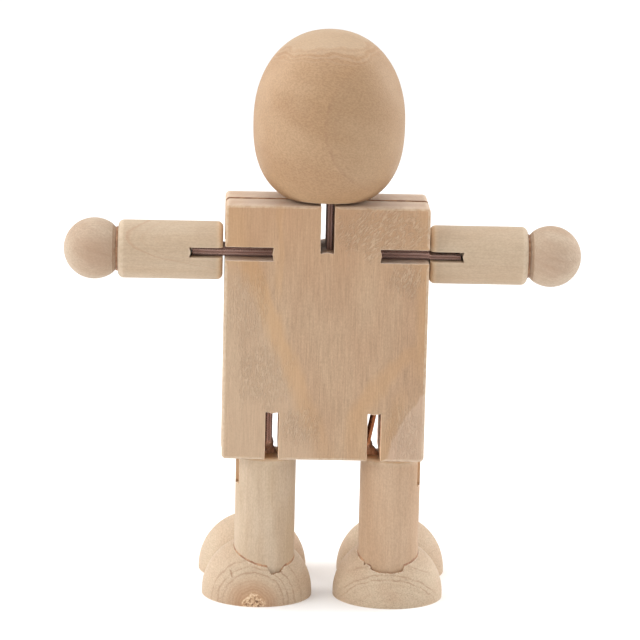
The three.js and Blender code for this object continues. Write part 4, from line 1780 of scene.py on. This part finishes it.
@dataclass
class Strap:
    """One woven elastic strap, in two halves that meet where it enters the head or a limb."""

    finishes: Finishes
    place: str
    bodies: Bodies
    stations: Sequence[Station]
    split: float
    turn_zone: tuple[Vector, Vector]
    swing_zone: tuple[Vector, Vector]
    square_to: Vector | None = None
    slack: bool = False
    row_gap: float = 0.22 * MM
    rib: float = 0.75 * MM
    pick: float = 0.5 * MM
    rib_depth: float = 0.05 * MM
    edge_bite: float = 0.1 * MM
    pick_share: float = 0.35
    edge_round: float = 0.8
    short_run: float = 0.5 * MM
    short_gap: float = 0.03 * MM
    across_steps: int = 30
    thickness_steps: int = 5

    def section(self, station: Station, thin: Vector, along: float) -> list[tuple[Vector, Vector]]:
        """One ring of the strap's surface.

        Args:
            station: the cross-section.
            thin: the direction of its thickness.
            along: distance along the strap.

        Returns:
            For each point its place and its weave coordinates in millimetres.
        """
        notch = self.edge_bite * (0.5 + 0.5 * math.sin(math.tau * along / self.pick))
        half_width = station.half_width - notch
        ring: list[tuple[Vector, Vector]] = []
        corner = station.half_thickness * self.edge_round
        flat = half_width - corner
        path: Profile = []
        for i in range(self.across_steps + 1):
            path.append((flat * (1 - 2 * i / self.across_steps), station.half_thickness))
        for i in range(1, self.thickness_steps + 1):
            angle = math.pi / 2 + math.pi * i / (self.thickness_steps + 1)
            path.append((-flat + corner * math.cos(angle), station.half_thickness * math.sin(angle)))
        path += [(-x, -y) for x, y in path]
        turn = 0.0
        last = path[0]
        for x, y in path:
            turn += math.hypot(x - last[0], y - last[1])
            last = (x, y)
            rib = 0.5 - 0.5 * math.cos(math.tau * x / self.rib)
            sink = self.rib_depth * rib * (abs(y) >= station.half_thickness * 0.99)
            phase = math.tau * along / self.pick + math.pi * round(x / self.rib)
            wave = self.pick_share * self.rib_depth * math.sin(phase)
            y_out = y - math.copysign(sink + wave, y)
            place = station.middle + station.wide * x + thin * y_out
            ring.append((place, Vector((turn / MM, along / MM, 0))))
        return ring

    def rows(self) -> list[tuple[float, Station]]:
        """Every cross-section along the strap with its distance from the inner end."""
        rows: list[tuple[float, Station]] = []
        run = 0.0
        for a, b in zip(self.stations, self.stations[1:]):
            length = (b.middle - a.middle).length
            gap = self.short_gap if length < self.short_run else self.row_gap
            count = max(1, math.ceil(length / gap))
            for i in range(count):
                rows.append((run + length * i / count, a.towards(b, i / count)))
            run += length
        rows.append((run, self.stations[-1]))
        return rows

    def half(self, name: str, rows: Sequence[tuple[float, Station]]) -> Solid:
        """Lofts one half of the strap.

        Args:
            name: the piece's name.
            rows: its cross-sections.

        Returns:
            The closed solid with its weave coordinates.
        """
        rings, weave = [], []
        for index, (along, station) in enumerate(rows):
            before, after = rows[max(0, index - 1)][1], rows[min(len(rows) - 1, index + 1)][1]
            forward = self.square_to or (after.middle - before.middle).normalized()
            thin = forward.cross(station.wide).normalized()
            ring = self.section(station, thin, along)
            rings.append([point for point, _ in ring])
            weave += [place for _, place in ring]
        piece = loft(name, rings)
        face_outwards(piece)
        piece.data.attributes.new(WEAVE_MAP, "FLOAT_VECTOR", "POINT").data.foreach_set(
            "vector", [value for place in weave for value in place]
        )
        piece.data.shade_smooth()
        piece.data.set_sharp_from_angle(angle=math.radians(60))
        # the slack strap takes the elastic copy with painted light
        piece.data.materials.append(self.finishes.slack if self.slack else self.finishes.elastic)
        return piece

    def build(self) -> None:
        """Makes the two halves and hides the frame's strap."""
        rows = self.rows()
        cut = next(i for i, (run, _) in enumerate(rows) if run >= self.split - 1e-7)
        carrier, link, limb = self.bodies
        parts = (
            (f"{self.place}_strap_inner", rows[: cut + 1], carrier, link, self.turn_zone),
            (f"{self.place}_strap_outer", rows[cut:], link, limb, self.swing_zone),
        )
        for name, part, first, second, zone in parts:
            piece = self.half(name, part)
            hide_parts(f"{self.place}_strap")
            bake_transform(piece)
            LOG.info("%s: %d faces, bends from %s to %s", name, len(piece.data.polygons), first, second)


@dataclass
class Straps:
    """The five straps: how each leaves the torso and enters the head or a limb."""

    finishes: Finishes
    half_width: float = 3.8 * MM
    half_thickness: float = 0.7 * MM
    shoulder_half_thickness: float = 0.86 * MM
    slack_half_thickness: float = 0.35 * MM
    thin_half_thickness: float = 0.54 * MM
    thin_drop: float = 0.42 * MM
    leg_half_width: float = 3.0 * MM
    bunched_half_width: float = 1.4 * MM
    bunched_half_thickness: float = 0.9 * MM
    gather: float = 2.6 * MM
    bend_reach: float = 2.4 * MM
    wall_shift: float = 0.22 * MM
    shoulder_shift: float = 0.1 * MM
    slack_shift: float = 0.75 * MM
    lean_share: float = 0.35

    def flat(self, node: str, bodies: Bodies, outward: Vector, mouth: Vector, limb: Vector) -> None:
        """Builds a strap that stays flat; the right arm's lies low in its kerf.

        Args:
            node: the place that names the strap.
            bodies: the torso, the strap's own body and the body that it holds.
            outward: the direction in which it leaves the torso.
            mouth: a point level with the torso's face.
            limb: a point level with the limb's end.
        """
        box = Extent.of(f"{node}_strap")
        wide = Vector((0, 1, 0))
        middle = box.centre
        sides = sorted((box.low, box.high), key=lambda p: p.dot(outward))
        ends = [middle + outward * ((p - middle).dot(outward)) for p in sides]
        leave, enter = (middle + outward * ((p - middle).dot(outward)) for p in (mouth, limb))
        deep = enter + outward * self.bend_reach
        aside = Vector((self.wall_shift, 0, 0)) if node == "neck" else Vector((0, 0, -self.shoulder_shift))
        floor = leave - outward * (Torso.kerf.depth - Torso.kerf.ridge)
        places = [ends[0], floor + aside, leave + aside, enter + aside, deep + aside, ends[1]]
        thick = self.half_thickness if node == "neck" else self.shoulder_half_thickness
        halves = [thick] * len(places)
        if outward.x > 0.5:
            drop = Vector((0, 0, -self.thin_drop))
            places[3:] = [enter + drop, deep + drop, ends[1] + drop]
            halves[3:] = [self.thin_half_thickness] * 3
        stations = [Station(p, wide, self.half_width, half) for p, half in zip(places, halves)]
        split = sum((b.middle - a.middle).length for a, b in zip(stations[:3], stations[1:4]))
        Strap(self.finishes, node, bodies, stations, split, (leave, enter), (enter, deep), outward).build()

    def hip(self, side: Side) -> None:
        """Builds a hip strap, which makes a quarter turn where it leaves the torso."""
        node = f"{side.word}_hip"
        box = Extent.of(f"{node}_strap")
        torso, leg = Extent.of("torso_front_plate"), Extent.of(f"{side.word}_leg")
        top_x = Extent.of(f"{node}_anchor_pin").centre.x
        y = box.centre.y
        low_x = box.high.x - self.leg_half_width
        bottom, top = torso.low.z, leg.high.z
        turn = side.value * math.radians(Leg.kerf_turn)
        forward, sideways = Vector((0, 1, 0)), Vector((math.cos(turn), -math.sin(turn), 0))
        bunch = (self.bunched_half_width, self.bunched_half_thickness)
        full = (self.half_width, self.half_thickness)
        inner = (self.half_width, self.slack_half_thickness) if side is Side.RIGHT else full
        outer = (self.leg_half_width, self.half_thickness)
        lean = top_x + (low_x - top_x) * self.lean_share
        floor_x = top_x + self.slack_shift * (side is Side.RIGHT) - self.wall_shift * (side is Side.LEFT)
        wall_x = top_x - self.wall_shift - (full[1] - inner[1])
        floor_z = bottom + Torso.kerf.depth - Torso.kerf.ridge
        places = [
            (top_x, box.high.z, forward, inner),
            (floor_x, floor_z, forward, inner),
            (wall_x, bottom + self.gather, forward, inner),
            (wall_x, bottom + 0.9 * MM, forward.lerp(sideways, 0.25).normalized(), bunch),
            (lean, bottom, forward.lerp(sideways, 0.9).normalized(), bunch),
            (lean, top, sideways, bunch),
            (low_x, top - self.gather, sideways, outer),
            (low_x, box.low.z, sideways, outer),
        ]
        stations = [Station(Vector((x, y, z)), wide, *half) for x, z, wide, half in places]
        split = sum((b.middle - a.middle).length for a, b in zip(stations[:5], stations[1:6]))
        leave, enter = Vector((lean, y, bottom)), Vector((lean, y, top))
        deep = enter - Vector((0, 0, self.bend_reach))
        Strap(self.finishes, node, ("torso", node, f"{side.word}_leg"), stations, split,
              (leave, enter), (enter, deep), slack=side is Side.RIGHT).build()

    def build(self) -> None:
        """Builds the five straps."""
        torso, head = Extent.of("torso_front_plate"), Extent.of("head")
        self.flat("neck", ("torso", "neck", "head"), Vector((0, 0, 1)), torso.high, head.low)
        for side in Side:
            word = side.word
            arm = Extent.of(f"{word}_arm")
            mouth, end = side.pick((torso.low, arm.high), (torso.high, arm.low))
            self.flat(f"{word}_shoulder", ("torso", f"{word}_shoulder", f"{word}_arm"),
                      Vector((side.value, 0, 0)), mouth, end)
            self.hip(side)


@dataclass
class Studio:
    """The pale floor, the soft light and the camera at the photograph's angle."""

    target: Vector = field(default_factory=lambda: Vector((-0.244, -8.9185, 56.586)) * MM)
    distance: float = 731.2 * MM
    azimuth: float = -1.59
    elevation: float = 11.615
    roll: float = 1.372
    focal_pixels: float = 3701.0
    sensor: float = 36.0
    floor_width: float = 3.0
    floor_front: float = -1.2
    floor_back: float = 0.7
    wall_height: float = 1.6
    sweep_radius: float = 0.45

    def floor(self) -> None:
        """Makes the floor, which sweeps up behind the figure into a plain wall."""
        line = [(self.floor_front, 0.0), (self.floor_back, 0.0)]
        line += arc((self.floor_back, self.sweep_radius), self.sweep_radius, -90, 0, 24)[1:]
        line.append((self.floor_back + self.sweep_radius, self.wall_height))
        half = self.floor_width / 2
        vertices = [Vector((x, y, z)) for y, z in line for x in (-half, half)]
        faces = [(2 * i, 2 * i + 1, 2 * i + 3, 2 * i + 2) for i in range(len(line) - 1)]
        floor = make_piece("studio_floor", vertices, faces)
        floor.data.shade_smooth()
        material, graph, shader = new_material("studio_paper")
        place = graph.node("TexCoord").outputs["Object"]
        grain = graph.noise(place, 60.0, 4.0)
        paper = graph.mix(grain, (0.93, 0.93, 0.93, 1), (0.96, 0.96, 0.96, 1))
        graph.feed(shader.inputs["Base Color"], paper)
        shader.inputs["Roughness"].default_value = 0.9
        floor.data.materials.append(material)

    def lights(self) -> None:
        """Adds square soft lights aimed at the figure, and the pale surroundings."""
        white = (1.0, 1.0, 1.0)
        for name, place, size, watts, colour in (
            ("key_light", (-0.75, -0.45, 0.42), 0.6, 4.2, (1.0, 0.995, 0.985)),
            ("fill_light", (0.8, -0.4, 0.32), 0.6, 1.8, white),
            ("top_light", (-0.05, 0.0, 0.9), 0.8, 5.0, white),
            ("left_panel", (-0.6, 0.25, 0.35), 0.5, 2.4, white),
            ("right_panel", (0.65, 0.28, 0.35), 0.5, 3.2, white),
        ):
            light = bpy.data.lights.new(name, "AREA")
            light.shape = "SQUARE"
            light.size = size
            light.energy = watts
            light.color = colour
            lamp = bpy.data.objects.new(name, light)
            lamp.location = place
            lamp.rotation_euler = (self.target - Vector(place)).to_track_quat("-Z", "Y").to_euler()
            bpy.context.collection.objects.link(lamp)
        world = bpy.data.worlds.new("studio_air")
        bpy.context.scene.world = world
        world.use_nodes = True
        background = world.node_tree.nodes["Background"]
        background.inputs["Color"].default_value = (1.0, 1.0, 1.0, 1.0)
        background.inputs["Strength"].default_value = 0.5

    def camera(self) -> None:
        """Adds the camera and makes it the scene's."""
        azimuth, elevation, roll = (math.radians(a) for a in (self.azimuth, self.elevation, self.roll))
        level = Vector((-math.sin(azimuth), math.cos(azimuth), 0))
        forward = level * math.cos(elevation) - Vector((0, 0, math.sin(elevation)))
        right = Vector((math.cos(azimuth), math.sin(azimuth), 0))
        up = right.cross(forward)
        side = right * math.cos(roll) + up * math.sin(roll)
        top = up * math.cos(roll) - right * math.sin(roll)
        lens = bpy.data.cameras.new("photo_camera")
        lens.sensor_width = self.sensor
        lens.lens = self.focal_pixels * self.sensor / PHOTO_SIDE
        lens.clip_start = 0.01
        camera = bpy.data.objects.new("photo_camera", lens)
        turn = Matrix((side, top, -forward)).transposed().to_4x4()
        camera.matrix_world = Matrix.Translation(self.target - forward * self.distance) @ turn
        bpy.context.collection.objects.link(camera)
        bpy.context.scene.camera = camera

    def build(self) -> None:
        """Sets the whole studio up."""
        self.floor()
        self.lights()
        self.camera()
        bpy.context.scene.view_settings.view_transform = "Standard"


def main() -> None:
    """Builds the figure round its frame and sets up the studio."""
    logging.basicConfig(level=logging.INFO, format="%(name)s: %(message)s")
    Studio().build()
    finishes = Finishes()
    Torso(finishes).build()
    Head(finishes).build()
    for side in Side:
        Arm(finishes, side).build()
    left_chips = ((7, 0.0), (8.5, 1.0), (12, 1.85), (15, 1.75), (22, 1.4), (29, 1.4), (33, 1.0),
                  (38, 0.4), (43, 0.0))
    right_chips = ((-53, 0.0), (-51, 0.8), (-48, 0.8), (-46, 0.25), (-36, 0.35), (-33, 1.1), (-10, 1.35),
                   (18, 1.3), (27, 1.2), (30, 0.0))
    Leg(finishes, Side.LEFT, left_chips, heel_side_shift=1.2 * MM, toe_out=2.5).build()
    Leg(finishes, Side.RIGHT, right_chips, heel_side_shift=0.0, toe_out=4.0).build()
    Straps(finishes).build()


if __name__ == "__main__":
    main()
